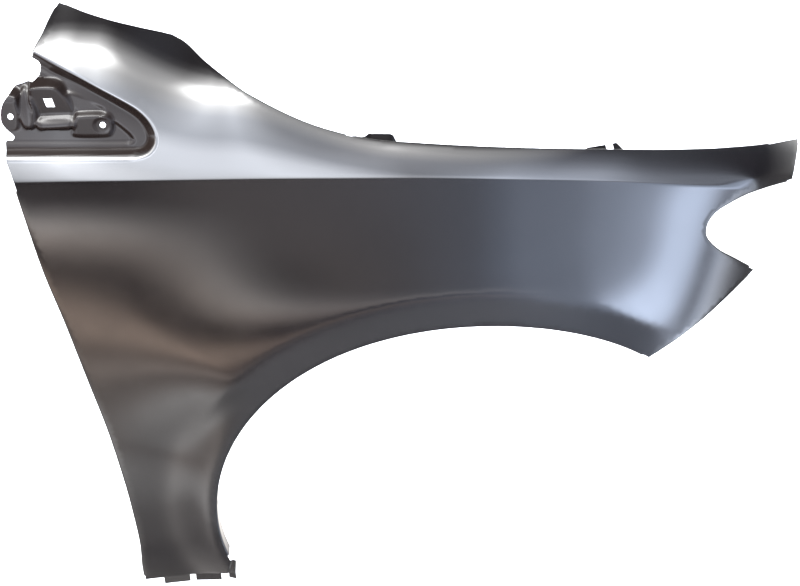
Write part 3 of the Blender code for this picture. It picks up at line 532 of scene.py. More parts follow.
def side_surface(x, z):
    """The side below the crease: the body side, flared out to the band round the wheel."""
    radius = np.hypot(x, z)
    angle = np.arctan2(z, x) % (2 * math.pi)
    width = band_width(angle)
    beyond = radius - ARCH_RADIUS
    band = nose(x) + LOW_TURN_IN * (np.minimum(z, 0) / LOW_TURN_REACH) ** 2
    outside = beyond - width
    outside = (outside + np.sqrt(outside ** 2 + BAND_EDGE ** 2)) / 2
    band = band - BAND_TUCK * np.clip((beyond - outside) / width, 0, 1)
    below = np.maximum(crease_height(x) - z, LEAST_CREASE_GAP)
    crisp = below / (below + outside) * np.exp(-(outside / BAND_FADE) ** 2)
    soft = np.exp(-(np.maximum(beyond, 0) / BAND_SOFT_FADE) ** 2)
    flare = crisp + (soft - crisp) * ease((angle - BAND_END_ANGLE) / BAND_END_BLEND)
    side = body_side(x, z)
    return side + (band - side) * flare


def sharp_surface(x, up):
    """The pressed surface with a sharp crease, as an array of points."""
    x, up = np.broadcast_arrays(np.asarray(x, dtype=float), np.asarray(up, dtype=float))
    height = crease_height(x)
    lean = blended(x, LEAN_SHARES, SHOULDER_LEAN)
    radius = blended(x, ROLL_SHARES, SHOULDER_RADIUS)
    turned = lean + np.maximum(up, 0) / radius
    shoulder_y = body_side(x, height) + radius * (np.cos(lean) - np.cos(turned))
    shoulder_z = height + radius * (np.sin(turned) - np.sin(lean))
    low = height + np.minimum(up, 0)
    y = np.where(up > 0, shoulder_y, side_surface(x, low))
    z = np.where(up > 0, shoulder_z, low)
    return np.stack([x, y, z], axis=-1)


class Press:
    """Where the press puts points of the blank."""

    # The crease's softening: shifts up the blank in crease radii, each with its weight
    SOFTENING = ((-1.0, 1), (-0.5, 4), (0.0, 6), (0.5, 4), (1.0, 1))
    # The grid of depths in the recess: its cell, its margins, and how softly it is smoothed
    CELL = 1 * MM
    MARGIN = 8 * MM
    REAR_MARGIN = 10 * MM
    SMOOTHING = 1.1 * MM
    SMOOTHING_CELLS = 4

    def __init__(self, sheet, recess):
        self.sheet = sheet
        self.recess = recess
        self.rim, self.foot, self.well = (
            smooth_line([recess_point(s) for s in shares], sheet.recess_step)
            for shares in (RIM_SHARES, FOOT_SHARES, WELL_SHARES))
        self.bolt_seat = recess_point(BOLT_SEAT_SHARE)
        self.latch_seat = recess_point(LATCH_SEAT_SHARE)
        self.window = recess_point(CLIP_WINDOW_SHARE)
        self.low_wall_top = recess_point((0, LOW_WALL_SHARE))[1]
        self.pads = [self.pad(*pad) for pad in PADS]
        self.make_field()

    def plain(self, x, up):
        """The surface with its crease softened, without the recess."""
        total = sum(weight for _, weight in self.SOFTENING)
        radius = self.sheet.crease_radius
        return sum(sharp_surface(x, up + shift * radius) * weight
                   for shift, weight in self.SOFTENING) / total

    def pad(self, shares, centre_share, rise, lean, skirt):
        """A flat pad: its outline, its place, its slopes along the car and up, and its skirt."""
        outline = smooth_loop([recess_point(s) for s in shares], self.sheet.recess_step)
        centre = recess_point(centre_share) if centre_share else np.mean(outline, axis=0)
        nudge = 1 * MM
        middle, ahead = sharp_surface([centre[0], centre[0] + nudge], [centre[1], centre[1]])
        slope_up = math.tan(lean)
        slope_along = ((ahead - middle)[1] - slope_up * (ahead - middle)[2]) / nudge
        middle[1] += self.recess.depth + self.recess.well_depth - rise
        return {"outline": outline, "skirt": skirt, "centre": middle,
                "along": slope_along, "up": slope_up}

    def make_field(self):
        """The recess's depth on a fine grid of the blank, softened as a press softens it."""
        rim = np.array(self.rim)
        self.low = np.array((-REAR_REACH - self.REAR_MARGIN, rim[:, 1].min() - self.MARGIN))
        high = np.array((rim[:, 0].max() + self.MARGIN, SHOULDER_RISE))
        across = np.arange(self.low[0], high[0], self.CELL)
        upward = np.arange(self.low[1], high[1], self.CELL)
        x, up = np.meshgrid(across, upward)
        flat = np.stack([x.ravel(), up.ravel()], axis=1)
        field = self.depth(flat).reshape(x.shape)
        spread = self.SMOOTHING / self.CELL
        cells = self.SMOOTHING_CELLS
        taps = np.exp(-np.arange(-cells, cells + 1) ** 2 / (2 * spread ** 2))
        taps /= taps.sum()
        for axis in (0, 1):
            padded = np.concatenate(
                [field.take([0] * cells, axis), field, field.take([-1] * cells, axis)], axis)
            field = sum(weight * padded.take(range(k, k + field.shape[axis]), axis)
                        for k, weight in enumerate(taps))
        self.field = field

    def depth(self, flat):
        """How far the recess lies below the shoulder at blank points, before softening."""
        recess = self.recess
        plain = sharp_surface(flat[:, 0], flat[:, 1])
        in_rim = inside_distance(flat, self.rim)
        in_foot = inside_distance(flat, self.foot)
        wall = np.where(in_foot >= 0, 1.0, in_rim / np.maximum(in_rim - in_foot, 1e-9))
        depth = recess.depth * np.clip(wall, 0, 1)
        depth += recess.well_depth * ease(inside_distance(flat, self.well) / WELL_SLOPE)
        upper = ease((flat[:, 1] - self.low_wall_top) / RIM_BEAD_START)
        depth -= recess.bead_height * upper * np.exp(
            -((in_rim - RIM_BEAD_INSET) / RIM_BEAD_WIDTH) ** 2)
        for pad in self.pads:
            share = ease(1 + inside_distance(flat, pad["outline"]) / pad["skirt"])
            level = (pad["centre"][1] + pad["along"] * (plain[:, 0] - pad["centre"][0])
                     + pad["up"] * (plain[:, 2] - pad["centre"][2])) - plain[:, 1]
            depth += (level - depth) * share
        loop = smooth_loop([recess_point(s) for s in BEAD_SHARES], LOOP_BEAD_SPACING)
        depth -= LOOP_BEAD_HEIGHT * dome(inside_distance(flat, loop) / LOOP_BEAD_SLOPE)
        roll = line_distance(flat, [recess_point(s) for s in ROLL_LINE_SHARES])
        depth -= ROLL_RADIUS * dome(1 - roll / ROLL_RADIUS)
        front, low = recess_point(PLATE_STEP_SHARE)
        step = ease((flat[:, 1] - low) / PLATE_STEP_SLOPE + 0.5)
        depth += PLATE_STEP * step * ease((front - flat[:, 0]) / PLATE_STEP_END)
        seat = np.hypot(*(flat - self.bolt_seat).T)
        depth += recess.seat_step * ease((SEAT_RADIUS - seat) / SEAT_SLOPE + 0.5)
        depth[in_rim <= 0] = 0
        return depth

    def dull_coat_and_painted_shade(self, flat):
        """How far the coat is dimmed, partly a duller coat and partly painted shade: most in the
        recess, and wholly on the recess's lower wall.
        """
        inside = ease((inside_distance(flat, self.rim) - DULL_SHADE_RIM_INSET) / DULL_SHADE_RIM_BLEND)
        wall = ease(1 - inside_distance(flat, self.foot) / DULL_SHADE_FOOT_BLEND)
        low = ease((self.low_wall_top - flat[:, 1]) / DULL_SHADE_LOW_BLEND)
        return inside * (FLOOR_DULL_SHADE + (1 - FLOOR_DULL_SHADE) * wall * low)

    def place(self, points):
        """Pressed places of blank points, an array of rows."""
        points = np.atleast_2d(np.asarray(points, dtype=float))
        placed = self.plain(points[:, 0], points[:, 1])
        rows, columns = self.field.shape
        cell = (points - self.low) / self.CELL
        inside = ((cell >= 0).all(axis=1) & (cell[:, 0] < columns - 1) & (cell[:, 1] < rows - 1))
        i, j = cell[inside, 0].astype(int), cell[inside, 1].astype(int)
        a, b = cell[inside, 0] - i, cell[inside, 1] - j
        field = self.field
        placed[inside, 1] += ((field[j, i] * (1 - a) + field[j, i + 1] * a) * (1 - b)
                              + (field[j + 1, i] * (1 - a) + field[j + 1, i + 1] * a) * b)
        return placed


def dome(share):
    """A rounded rise from 0 at share 0 to 1 at share 1 and beyond."""
    share = np.clip(share, 0, 1)
    return np.sqrt(1 - (1 - share) ** 2)


class Sheet:
    """The fine mesh of the sheet, from the flat blank to the pressed and folded surface."""

    def __init__(self, sheet, recess):
        self.sheet = sheet
        self.press = Press(sheet, recess)
        self.outline = []
        self.runs = {}
        self.holes = []
        self.mesh = bmesh.new()
        self.trace_outline()
        self.press_blank()

    def edge(self, name, points):
        """Adds one edge of the blank to its outline and keeps its name."""
        start = len(self.outline) - 1 if self.outline else 0
        self.outline.extend(points[1:] if self.outline else points)
        self.runs[name] = list(range(start, len(self.outline)))

    def smooth_edge(self, name, points):
        self.edge(name, smooth_line(points, self.sheet.edge_step))

    def shared_edge(self, name, shares):
        self.smooth_edge(name, [blank_point(s) for s in shares])

    def trace_outline(self):
        self.shared_edge("arm_top", ARM_TOP_SHARES)
        self.shared_edge("hood", HOOD_EDGE_SHARES)
        self.shared_edge("tip", TIP_SHARES)
        self.shared_edge("lamp", LAMP_NOTCH_SHARES)
        arch = arch_line(ARCH_REAR_ANGLE, self.sheet.edge_step)
        notch_end = blank_point(LAMP_NOTCH_SHARES[-1])
        self.smooth_edge("bumper", between(notch_end, arch[0], BUMPER_EDGE_SHARES))
        self.edge("arch", arch)
        sill_front = (arch[-1][0] - HEEL_SETBACK, SILL_FRONT_SHARE * SIDE_DROP)
        self.smooth_edge("heel", [arch[-1], sill_front])
        sill_rear = blank_point(DOOR_EDGE_SHARES[0])
        self.smooth_edge("sill", between(sill_front, sill_rear, SILL_SHARES))
        self.shared_edge("door", DOOR_EDGE_SHARES)
        self.shared_edge("door_top", DOOR_TOP_SHARES)
        raw = [blank_point(DOOR_TOP_SHARES[-1])] + [recess_point(s) for s in RAW_EDGE_SHARES]
        self.edge("raw", smooth_line(raw, self.sheet.recess_step))
        arm_rear = blank_point(ARM_TOP_SHARES[0])
        self.smooth_edge("arm_end", between(raw[-1], arm_rear, ARM_END_SHARES))
        self.outline.pop()
        self.runs["arm_end"][-1] = 0

    def sill_tab_spans(self):
        front = self.outline[self.runs["sill"][0]][0] - SILL_TAB_SETBACK
        spans = []
        for _ in range(2):
            spans.append((front, front - SILL_TAB_LENGTH))
            front -= SILL_TAB_LENGTH + SILL_TAB_GAP
        return spans

    def guide_lines(self):
        """Lines inside the blank that the mesh follows, each with its spacing."""
        step = self.sheet.panel_step / 2
        rear = blank_point(DOOR_TOP_SHARES[0])[0] + step
        front = reach(CREASE_GUIDE_END_SHARE)
        lines = []
        for offset in CREASE_GUIDE_OFFSETS:
            up = offset * self.sheet.crease_radius
            lines.append(smooth_line([(rear, up), (front, up)], step))
        lines.append(arch_line(BAND_END_ANGLE, step, band_width)[1:])
        return lines

    def step_at(self, points):
        """The spacing that the sheet needs at points of the blank."""
        fine = self.sheet.recess_step
        near_rim = inside_distance(points, self.press.rim) > -FINE_MARGIN_STEPS * fine
        return np.where(near_rim, fine, self.sheet.panel_step)

    def inner_points(self, fixed):
        """Points spread over the blank, each about one step from its neighbours."""
        outline = np.array(self.outline)
        low, high = outline.min(axis=0), outline.max(axis=0)
        taken = np.array(fixed)
        added = []
        for step in (self.sheet.recess_step, self.sheet.panel_step):
            row_height = step * math.sqrt(3) / 2
            rows = np.arange(int((high[1] - low[1]) / row_height) + 1)
            columns = np.arange(int((high[0] - low[0]) / step) + 1)
            across, up = np.meshgrid(columns, rows)
            grid = np.stack([low[0] + step * (across + up % 2 / 2), low[1] + row_height * up],
                            axis=-1).reshape(-1, 2)
            if step == self.sheet.recess_step:
                bound = np.array(self.press.rim)
                margin = FINE_MARGIN_STEPS * step
                grid = grid[(grid[:, 0] < bound[:, 0].max() + margin)
                            & (grid[:, 1] > bound[:, 1].min() - margin)]
            grid = grid[self.step_at(grid) == step]
            grid = grid[inside_distance(grid, outline) > step * EDGE_CLEARANCE_STEPS]
            grid = grid[clear_of(grid, taken, LEAST_SPACING_STEPS * step)]
            taken = np.concatenate([taken, grid])
            added.append(grid)
        return np.concatenate(added)

    def press_blank(self):
        """Divides the blank into triangles and presses every point of it."""
        points = [tuple(p) for p in self.outline]
        count = len(points)
        edges = [(i, (i + 1) % count) for i in range(count)]
        for guide in self.guide_lines():
            clearance = math.dist(guide[0], guide[1]) * EDGE_CLEARANCE_STEPS
            inner = inside_distance(guide, self.outline) > clearance
            last = None
            for p, keep in zip(guide, inner):
                if keep:
                    points.append(p)
                    if last is not None:
                        edges.append((last, len(points) - 1))
                last = len(points) - 1 if keep else None
        self.hole_rings = self.recess_rings()
        for ring in self.hole_rings:
            start = len(points)
            points += ring
            edges += [(start + i, start + (i + 1) % len(ring)) for i in range(len(ring))]
        points += [tuple(p) for p in self.inner_points(points)]
        flat, _, faces, sources, _, _ = delaunay_2d_cdt(
            [Vector(p) for p in points], edges, [], 1, MERGE_DISTANCE)
        flat = np.array([tuple(p) for p in flat])
        # A vertex mark of painted shade and duller coat in the recess: it dims the coat's sheen
        # and tints it brown
        dull_and_shade_mark = self.mesh.verts.layers.float.new("recess")
        verts = [self.mesh.verts.new(p) for p in self.press.place(flat)]
        for vert, share in zip(verts, self.press.dull_coat_and_painted_shade(flat)):
            vert[dull_and_shade_mark] = float(share)
        triangles = [face for face in faces if len(face) == 3]
        centres = flat[np.array(triangles)].mean(axis=1)
        open_places = np.zeros(len(triangles), dtype=bool)
        for ring in self.hole_rings:
            open_places |= inside_distance(centres, ring) > 0
        for face, is_open in zip(triangles, open_places):
            if is_open:
                continue
            a, b, c = (flat[i] for i in face)
            turn = (b[0] - a[0]) * (c[1] - a[1]) - (b[1] - a[1]) * (c[0] - a[0])
            self.mesh.faces.new([verts[i] for i in (face if turn > 0 else face[::-1])])
        self.skin = [None] * count
        for vert, source in zip(verts, sources):
            for index in source:
                if index < count:
                    self.skin[index] = vert

    def recess_rings(self):
        """Outlines of the recess's holes on the blank, true to size on the pressed pads."""
        turns = [2 * math.pi * index / ROUND_STEPS for index in range(ROUND_STEPS)]
        ring = [(TRIM_HOLE / 2 * math.cos(t), TRIM_HOLE / 2 * math.sin(t)) for t in turns]
        rings = [self.laid_on(centre, ring)
                 for centre in (self.press.bolt_seat, self.press.latch_seat)]
        half = CLIP_WINDOW / 2
        slant = CLIP_WINDOW_SLANT
        corners = [(-half - slant, half), (-half + slant, -half), (half + slant, -half),
                   (half - slant, half)]
        steps = WINDOW_SIDE_STEPS
        window = []
        for a, b in zip(corners, corners[1:] + corners[:1]):
            window += [(a[0] + (b[0] - a[0]) * k / steps, a[1] + (b[1] - a[1]) * k / steps)
                       for k in range(steps)]
        rings.append(self.laid_on(self.press.window, window))
        return rings

    def laid_on(self, centre, offsets):
        """Blank points whose pressed places lie at those offsets, measured on the surface."""
        nudge = 0.5 * MM
        here, ahead, above = self.press.place(
            [centre, (centre[0] + nudge, centre[1]), (centre[0], centre[1] + nudge)])
        along = (ahead - here) / nudge
        rising = (above - here) / nudge
        first = along / np.linalg.norm(along)
        second = rising - rising.dot(first) * first
        second /= np.linalg.norm(second)
        matrix = np.array([[along.dot(first), rising.dot(first)],
                           [along.dot(second), rising.dot(second)]])
        moves = np.linalg.solve(matrix, np.array(offsets).T).T
        return [tuple(np.array(centre) + move) for move in moves]

    def frames(self, indices):
        """The corner, way out, outer normal and run at outline points, as rows of arrays."""
        outline = np.array(self.outline)
        count = len(outline)
        index = np.array(indices)
        here = outline[index]
        nudge = self.sheet.thickness
        plain = self.press.plain
        across = plain(here[:, 0] + nudge, here[:, 1]) - plain(here[:, 0] - nudge, here[:, 1])
        rising = plain(here[:, 0], here[:, 1] + nudge) - plain(here[:, 0], here[:, 1] - nudge)
        normal = unit(np.cross(across, rising))
        before, after = outline[index - 1], outline[(index + 1) % count]
        along = plain(after[:, 0], after[:, 1]) - plain(before[:, 0], before[:, 1])
        along = unit(along - (along * normal).sum(axis=1, keepdims=True) * normal)
        corner = np.array([tuple(self.skin[i].co) for i in indices])
        return corner, np.cross(normal, along), normal, along

    def run_within(self, name, start=CORNER_SETBACK, end=CORNER_SETBACK):
        """The outline points of a named edge, less a setback at each end."""
        indices = self.runs[name]
        places = [self.skin[i].co for i in indices]
        walked = [0.0]
        for here, there in zip(places, places[1:]):
            walked.append(walked[-1] + (there - here).length)
        return [i for i, w in zip(indices, walked) if start <= w <= walked[-1] - end]

    def strip(self, indices, columns):
        """Joins columns of points to the skin's edge, one column for each outline point."""
        rows = [[self.skin[i]] + [self.mesh.verts.new(p) for p in column]
                for i, column in zip(indices, columns)]
        for left, right in zip(rows, rows[1:]):
            for k in range(len(left) - 1):
                self.mesh.faces.new((left[k], left[k + 1], right[k + 1], right[k]))
        return rows

    def arc(self, corner, out, normal, angle):
        """Points round a fold, from the skin's edge to the start of the leg."""
        steps = self.sheet.fold_steps
        radius = self.sheet.fold_radius
        points = []
        for step in range(1, steps + 1):
            turn = angle * step / steps
            points.append(corner + radius * (math.sin(turn) * out - (1 - math.cos(turn)) * normal))
        return points

    def add_returns(self):
        """The plain returns, folded square to the skin."""
        widths = {"arm_top": ARM_RETURN, "arm_end": ARM_RETURN, "tip": LAMP_RETURN,
                  "lamp": LAMP_RETURN, "bumper": BUMPER_RETURN, "door": DOOR_RETURN,
                  "arch": ARCH_RETURN}
        for name, width in widths.items():
            run = self.run_within(name)
            rows = self.folded_strip(run, width)
            if name == "arch":
                self.holes += self.strip_holes(rows, LINER_HOLE_SHARES, LINER_HOLE)
            if name == "bumper":
                self.holes += self.strip_holes(rows, BUMPER_HOLE_SHARES, BUMPER_HOLE)

    def folded_strip(self, run, width):
        """A return folded square to the skin: a fold and a flat leg."""
        columns = []
        pieces = max(1, round(width / self.sheet.edge_step))
        for corner, out, normal, _ in zip(*self.frames(run)):
            column = self.arc(corner, out, normal, math.pi / 2)
            column += leg(column[-1], -normal * width, pieces)
            columns.append(column)
        return self.strip(run, columns)

    def strip_holes(self, rows, shares, size):
        """Round holes in the middle of a return's leg: centre, axis, diameter and slot."""
        start = self.sheet.fold_steps
        holes = []
        for share in shares:
            place = share * (len(rows) - 1)
            index = min(int(place), len(rows) - 2)
            left, right = rows[index], rows[index + 1]
            corners = [left[start].co, left[-1].co, right[-1].co, right[start].co]
            centre = sum(corners, Vector()) / len(corners)
            axis = (corners[1] - corners[0]).cross(corners[3] - corners[0]).normalized()
            holes.append((centre, axis, size, 0))
        return holes

    def add_gutter(self):
        """The hood edge: a wall down into the gutter, and a shelf with its bolt tabs."""
        rear = [i for i in self.run_within("hood")
                if self.outline[i][0] < reach(GUTTER_START_SHARE) - TAB_RAMP / 2]
        self.folded_strip(rear, ARM_RETURN)
        run = [i for i in self.run_within("hood")
               if reach(GUTTER_START_SHARE) <= self.outline[i][0] <= reach(GUTTER_END_SHARE)]
        tabs = []
        for share, half, tab_reach, depth, slot in GUTTER_TABS:
            centre = reach(share)
            near = [self.skin[i].co for i in run]
            lowest = min(p.z for p in near if abs(p.x - centre) < half + self.sheet.thickness)
            tabs.append((centre, half, tab_reach, lowest - depth, slot))
        radius = self.sheet.fold_radius
        steps = self.sheet.fold_steps
        columns = []
        upright = np.array([0.0, 0.0, 1.0])
        for corner, out, normal, along in zip(*self.frames(run)):
            level = unit(np.cross(upright, along))
            down = unit(np.cross(along, level))
            down = down if down[2] < 0 else -down
            angle = math.acos(float(np.clip(out.dot(down), -1, 1)))
            column = self.arc(corner, out, normal, angle)
            floor = corner[2] - GUTTER_DEPTH
            shelf = float(blended(corner[0], SHELF_WIDTH_SHARES, SHELF_WIDTH))
            for centre, half, tab_reach, height, _ in tabs:
                share = float(ease(1 - (abs(corner[0] - centre) - half) / TAB_RAMP))
                floor += (height - floor) * share
                shelf += (tab_reach - shelf) * share
            foot = column[-1].copy()
            foot[2] = floor + radius
            column.append(foot)
            for step in range(1, steps + 1):
                turn = math.pi / 2 * step / steps
                column.append(foot + level * radius * (1 - math.cos(turn))
                              - upright * radius * math.sin(turn))
            column += leg(column[-1], level * shelf, SHELF_STEPS)
            columns.append(column)
        rows = self.strip(run, columns)
        for centre, half, tab_reach, height, slot in tabs:
            inner = [row[-1 - SHELF_STEPS].co for i, row in zip(run, rows)
                     if abs(self.outline[i][0] - centre) < half + self.sheet.thickness]
            share = (centre - inner[0].x) / (inner[-1].x - inner[0].x)
            place = inner[0].lerp(inner[-1], share) + Vector((0, TAB_HOLE_INSET, 0))
            place.z = height
            self.holes.append((place, Vector((0, 0, 1)), TAB_BOLT_HOLE, tab_reach * slot))

    def add_sill_tabs(self):
        """Two tabs under the sill, set in behind the skin, with a gap between them."""
        slope = math.pi / 4
        slack = self.sheet.edge_step / 2
        for front, back in self.sill_tab_spans():
            run = [i for i in self.runs["sill"]
                   if back - slack <= self.outline[i][0] <= front + slack]
            columns = []
            for corner, out, normal, _ in zip(*self.frames(run)):
                column = self.arc(corner, out, normal, slope)
                inwards = math.cos(slope) * out - math.sin(slope) * normal
                column.append(column[-1] + inwards * SILL_JOGGLE)
                columns.append(column)
            first, last = columns[0][-1], columns[-1][-1]
            start, end = self.outline[run[0]][0], self.outline[run[-1]][0]
            for index, column in zip(run, columns):
                share = (self.outline[index][0] - start) / (end - start)
                column[-1] = first + (last - first) * share
                column += leg(column[-1], np.array([0, 0, -SILL_TAB_REACH]), SILL_TAB_STEPS)
            self.strip(run, columns)

    def add_heel_lug(self):
        """A lug on the heel's edge below the arch, set in behind the skin."""
        run = self.runs["heel"]
        slope = math.pi / 4
        _, out, normal, _ = (row[0] for row in self.frames(run[len(run) // 2:][:1]))
        inwards = math.cos(slope) * out - math.sin(slope) * normal
        columns = []
        for step, index in enumerate(run):
            tip = LUG_TOP_REACH + (LUG_REACH - LUG_TOP_REACH) * step / (len(run) - 1)
            column = self.arc(np.array(self.skin[index].co), out, normal, slope)
            column.append(column[-1] + inwards * LUG_JOGGLE)
            column += leg(column[-1], out * tip, LUG_STEPS)
            columns.append(column)
        row = self.strip(run, columns)[-1][-1 - LUG_STEPS:]
        drop = Vector((0, 0, LUG_DROP / LUG_STEPS))
        for _ in range(LUG_STEPS):
            low = [self.mesh.verts.new(v.co - drop) for v in row]
            for k in range(LUG_STEPS):
                self.mesh.faces.new((row[k], row[k + 1], low[k + 1], low[k]))
            row = low

    def finish(self):
        bmesh.ops.recalc_face_normals(self.mesh, faces=self.mesh.faces)
        outer = min(self.mesh.faces, key=lambda f: f.calc_center_median().y)
        if outer.normal.y > 0:
            bmesh.ops.reverse_faces(self.mesh, faces=self.mesh.faces)
        bmesh.ops.translate(self.mesh, verts=self.mesh.verts, vec=WHEEL_CENTRE)


def leg(start, way, steps):
    """Points that divide a straight way into equal steps, without the start."""
    return [start + way * (k + 1) / steps for k in range(steps)]


def unit(vectors):
    return vectors / np.linalg.norm(vectors, axis=-1, keepdims=True)


def clear_of(grid, taken, gap):
    """Which grid points have no taken point within the gap."""
    buckets = {}
    for x, y in taken:
        buckets.setdefault((math.floor(x / gap), math.floor(y / gap)), []).append((x, y))
    clear = np.ones(len(grid), dtype=bool)
    for index, (x, y) in enumerate(grid):
        i, j = math.floor(x / gap), math.floor(y / gap)
        for a in (i - 1, i, i + 1):
            for b in (j - 1, j, j + 1):
                for q in buckets.get((a, b), ()):
                    if math.dist(q, (x, y)) < gap:
                        clear[index] = False
    return clear


def hole_cutter(place, axis, size, slot, group):
    """A round bar through the sheet, drawn out towards the car's middle where it is a slot."""
    turned = axis.to_track_quat("Z", "Y").to_matrix().to_4x4()
    tool = bmesh.new()
    bmesh.ops.create_cone(tool, cap_ends=True, segments=ROUND_STEPS, radius1=size / 2,
                          radius2=size / 2, depth=CUTTER_LENGTH)
    for vert in tool.verts:
        if (turned.to_3x3() @ vert.co).y > 0:
            vert.co += turned.to_3x3().inverted() @ Vector((0, slot, 0))
    tool.transform(Matrix.Translation(place + Vector(WHEEL_CENTRE)) @ turned)
    mesh = bpy.data.meshes.new("hole_cutter")
    tool.to_mesh(mesh)
    tool.free()
    cutter = bpy.data.objects.new("hole_cutter", mesh)
    group.objects.link(cutter)
    return cutter


class Nodes:
    """A short way to lay out a material's nodes and links."""

    def __init__(self, tree):
        self.tree = tree
        tree.nodes.clear()

    def add(self, kind, inputs=None, **settings):
        node = self.tree.nodes.new(kind)
        for name, value in settings.items():
            setattr(node, name, value)
        for name, value in (inputs or {}).items():
            socket = node.inputs[name]
            if isinstance(value, bpy.types.NodeSocket):
                self.tree.links.new(value, socket)
            else:
                socket.default_value = value
        return node

    def reckon(self, operation, *values, kind="ShaderNodeMath"):
        """The result of a sum with numbers, or with vectors where the kind says so."""
        return self.add(kind, dict(enumerate(values)), operation=operation).outputs[0]

    def spread(self, value, start, end, low=0.0, high=1.0):
        """The value carried over from one range to another, and held at its ends."""
        return self.add("ShaderNodeMapRange", {
            "Value": value, "From Min": start, "From Max": end, "To Min": low, "To Max": high,
        }).outputs["Result"]

    def noise(self, place, scale, detail, roughness=0.5):
        return self.add("ShaderNodeTexNoise", {
            "Vector": place, "Scale": scale, "Detail": detail, "Roughness": roughness,
        }).outputs["Fac"]

    def finish_surface(self, inputs):
        """The shader of a plain surface, joined to the material's output."""
        shader = self.add("ShaderNodeBsdfPrincipled", inputs)
        self.add("ShaderNodeOutputMaterial", {"Surface": shader.outputs["BSDF"]})

    def ramp(self, factor, stops):
        node = self.add("ShaderNodeValToRGB", {"Fac": factor})
        elements = node.color_ramp.elements
        while len(elements) < len(stops):
            elements.new(0.5)
        for element, (position, value) in zip(elements, stops):
            element.position = position
            element.color = (*value, 1)
        return node.outputs["Color"]


# What the recess mark adds: a brown tint, partly the thinner coat and partly painted shade, and
# some roughness
RECESS_SHADE_TINT = (0.0045, 0.0025, 0.0015)
RECESS_ROUGHNESS = 0.04
# How far the coat's colour and roughness drift over the panel
DRIFT_DARK = (0.8, 0.78, 0.8)
DRIFT_LIGHT = (1.25, 1.2, 1.2)
GLOSS_DRIFT = (-0.015, 0.03)
COAT_IOR = 1.8
COAT_SPECULAR = 0.5
PEEL_HEIGHT = 0.2 * MM


def coat_material(finish):
    """Black primer: a fine ripple, a slight drift of colour and gloss, and a recess dimmed and
    browned by painted shade and a duller coat.
    """
    material = bpy.data.materials.new("fender_coat")
    material.use_nodes = True
    nodes = Nodes(material.node_tree)
    place = nodes.add("ShaderNodeTexCoord").outputs["Object"]
    # The recess attribute is painted shade as well as a duller coat: it tints the colour brown and
    # lowers the sheen, most on the lower wall
    recess = nodes.add("ShaderNodeAttribute", attribute_name="recess").outputs["Fac"]
    dark, light = ([value * share for value, share in zip(finish.colour, shares)]
                   for shares in (DRIFT_DARK, DRIFT_LIGHT))
    colour = nodes.ramp(nodes.noise(place, 6.0, 4.0), ((0.3, dark), (0.7, light)))
    colour = nodes.reckon("MULTIPLY_ADD", recess, RECESS_SHADE_TINT, colour, kind="ShaderNodeVectorMath")
    smudge = nodes.noise(place, 22.0, 6.0, 0.65)
    least, most = (finish.gloss + drift for drift in GLOSS_DRIFT)
    rough = nodes.spread(smudge, 0.3, 0.75, least, most)
    peel = nodes.noise(place, 900.0, 2.0)
    bump = nodes.add("ShaderNodeBump", {
        "Height": peel, "Strength": finish.peel, "Distance": PEEL_HEIGHT})
    nodes.finish_surface({
        "Base Color": colour, "IOR": COAT_IOR, "Normal": bump.outputs["Normal"],
        "Roughness": nodes.reckon("MULTIPLY_ADD", recess, RECESS_ROUGHNESS, rough),
        "Specular IOR Level": nodes.spread(recess, 0.0, 1.0, COAT_SPECULAR, finish.recess_shaded_sheen)})
    return material


class FENDER_OT_panel(bpy.types.Operator):
    """Builds the pressed and folded steel sheet, and shows it in place of the frame's panel"""

    bl_idname = "fender.panel"
    bl_label = "Build fender panel"

    def execute(self, context):
        scene = context.scene
        sheet = Sheet(scene.fender_sheet, scene.fender_recess)
        sheet.add_returns()
        sheet.add_gutter()
        sheet.add_sill_tabs()
        sheet.add_heel_lug()
        sheet.finish()
        mesh = bpy.data.meshes.new("fender_skin")
        sheet.mesh.to_mesh(mesh)
        sheet.mesh.free()
        mesh.materials.append(coat_material(scene.fender_coat))
        panel = bpy.data.objects.new("fender_skin", mesh)
        scene.collection.objects.link(panel)
        thickness = panel.modifiers.new("thickness", "SOLIDIFY")
        thickness.thickness = scene.fender_sheet.thickness
        thickness.offset = -1
        thickness.use_even_offset = True
        thickness.use_quality_normals = True
        group = bpy.data.collections.new("hole_cutters")
        cutters = [hole_cutter(*hole, group) for hole in sheet.holes]
        holes = panel.modifiers.new("holes", "BOOLEAN")
        holes.operation = "DIFFERENCE"
        holes.operand_type = "COLLECTION"
        holes.collection = group
        holes.solver = "EXACT"
        scene.collection.children.link(group)
        depsgraph = context.evaluated_depsgraph_get()
        made = bpy.data.meshes.new_from_object(panel.evaluated_get(depsgraph))
        panel.modifiers.clear()
        panel.data = made
        made.name = "fender_skin"
        bpy.data.meshes.remove(mesh)
        for cutter in cutters:
            bpy.data.meshes.remove(cutter.data)
        bpy.data.collections.remove(group)
        made.shade_smooth()
        made.set_sharp_from_angle(angle=SHARP_ANGLE)
        if len(made.polygons) < LEAST_FACES:
            raise RuntimeError("the fender's sheet has not been cut and thickened")
        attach(panel, "root")
        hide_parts("fender_panel")
        return {"FINISHED"}


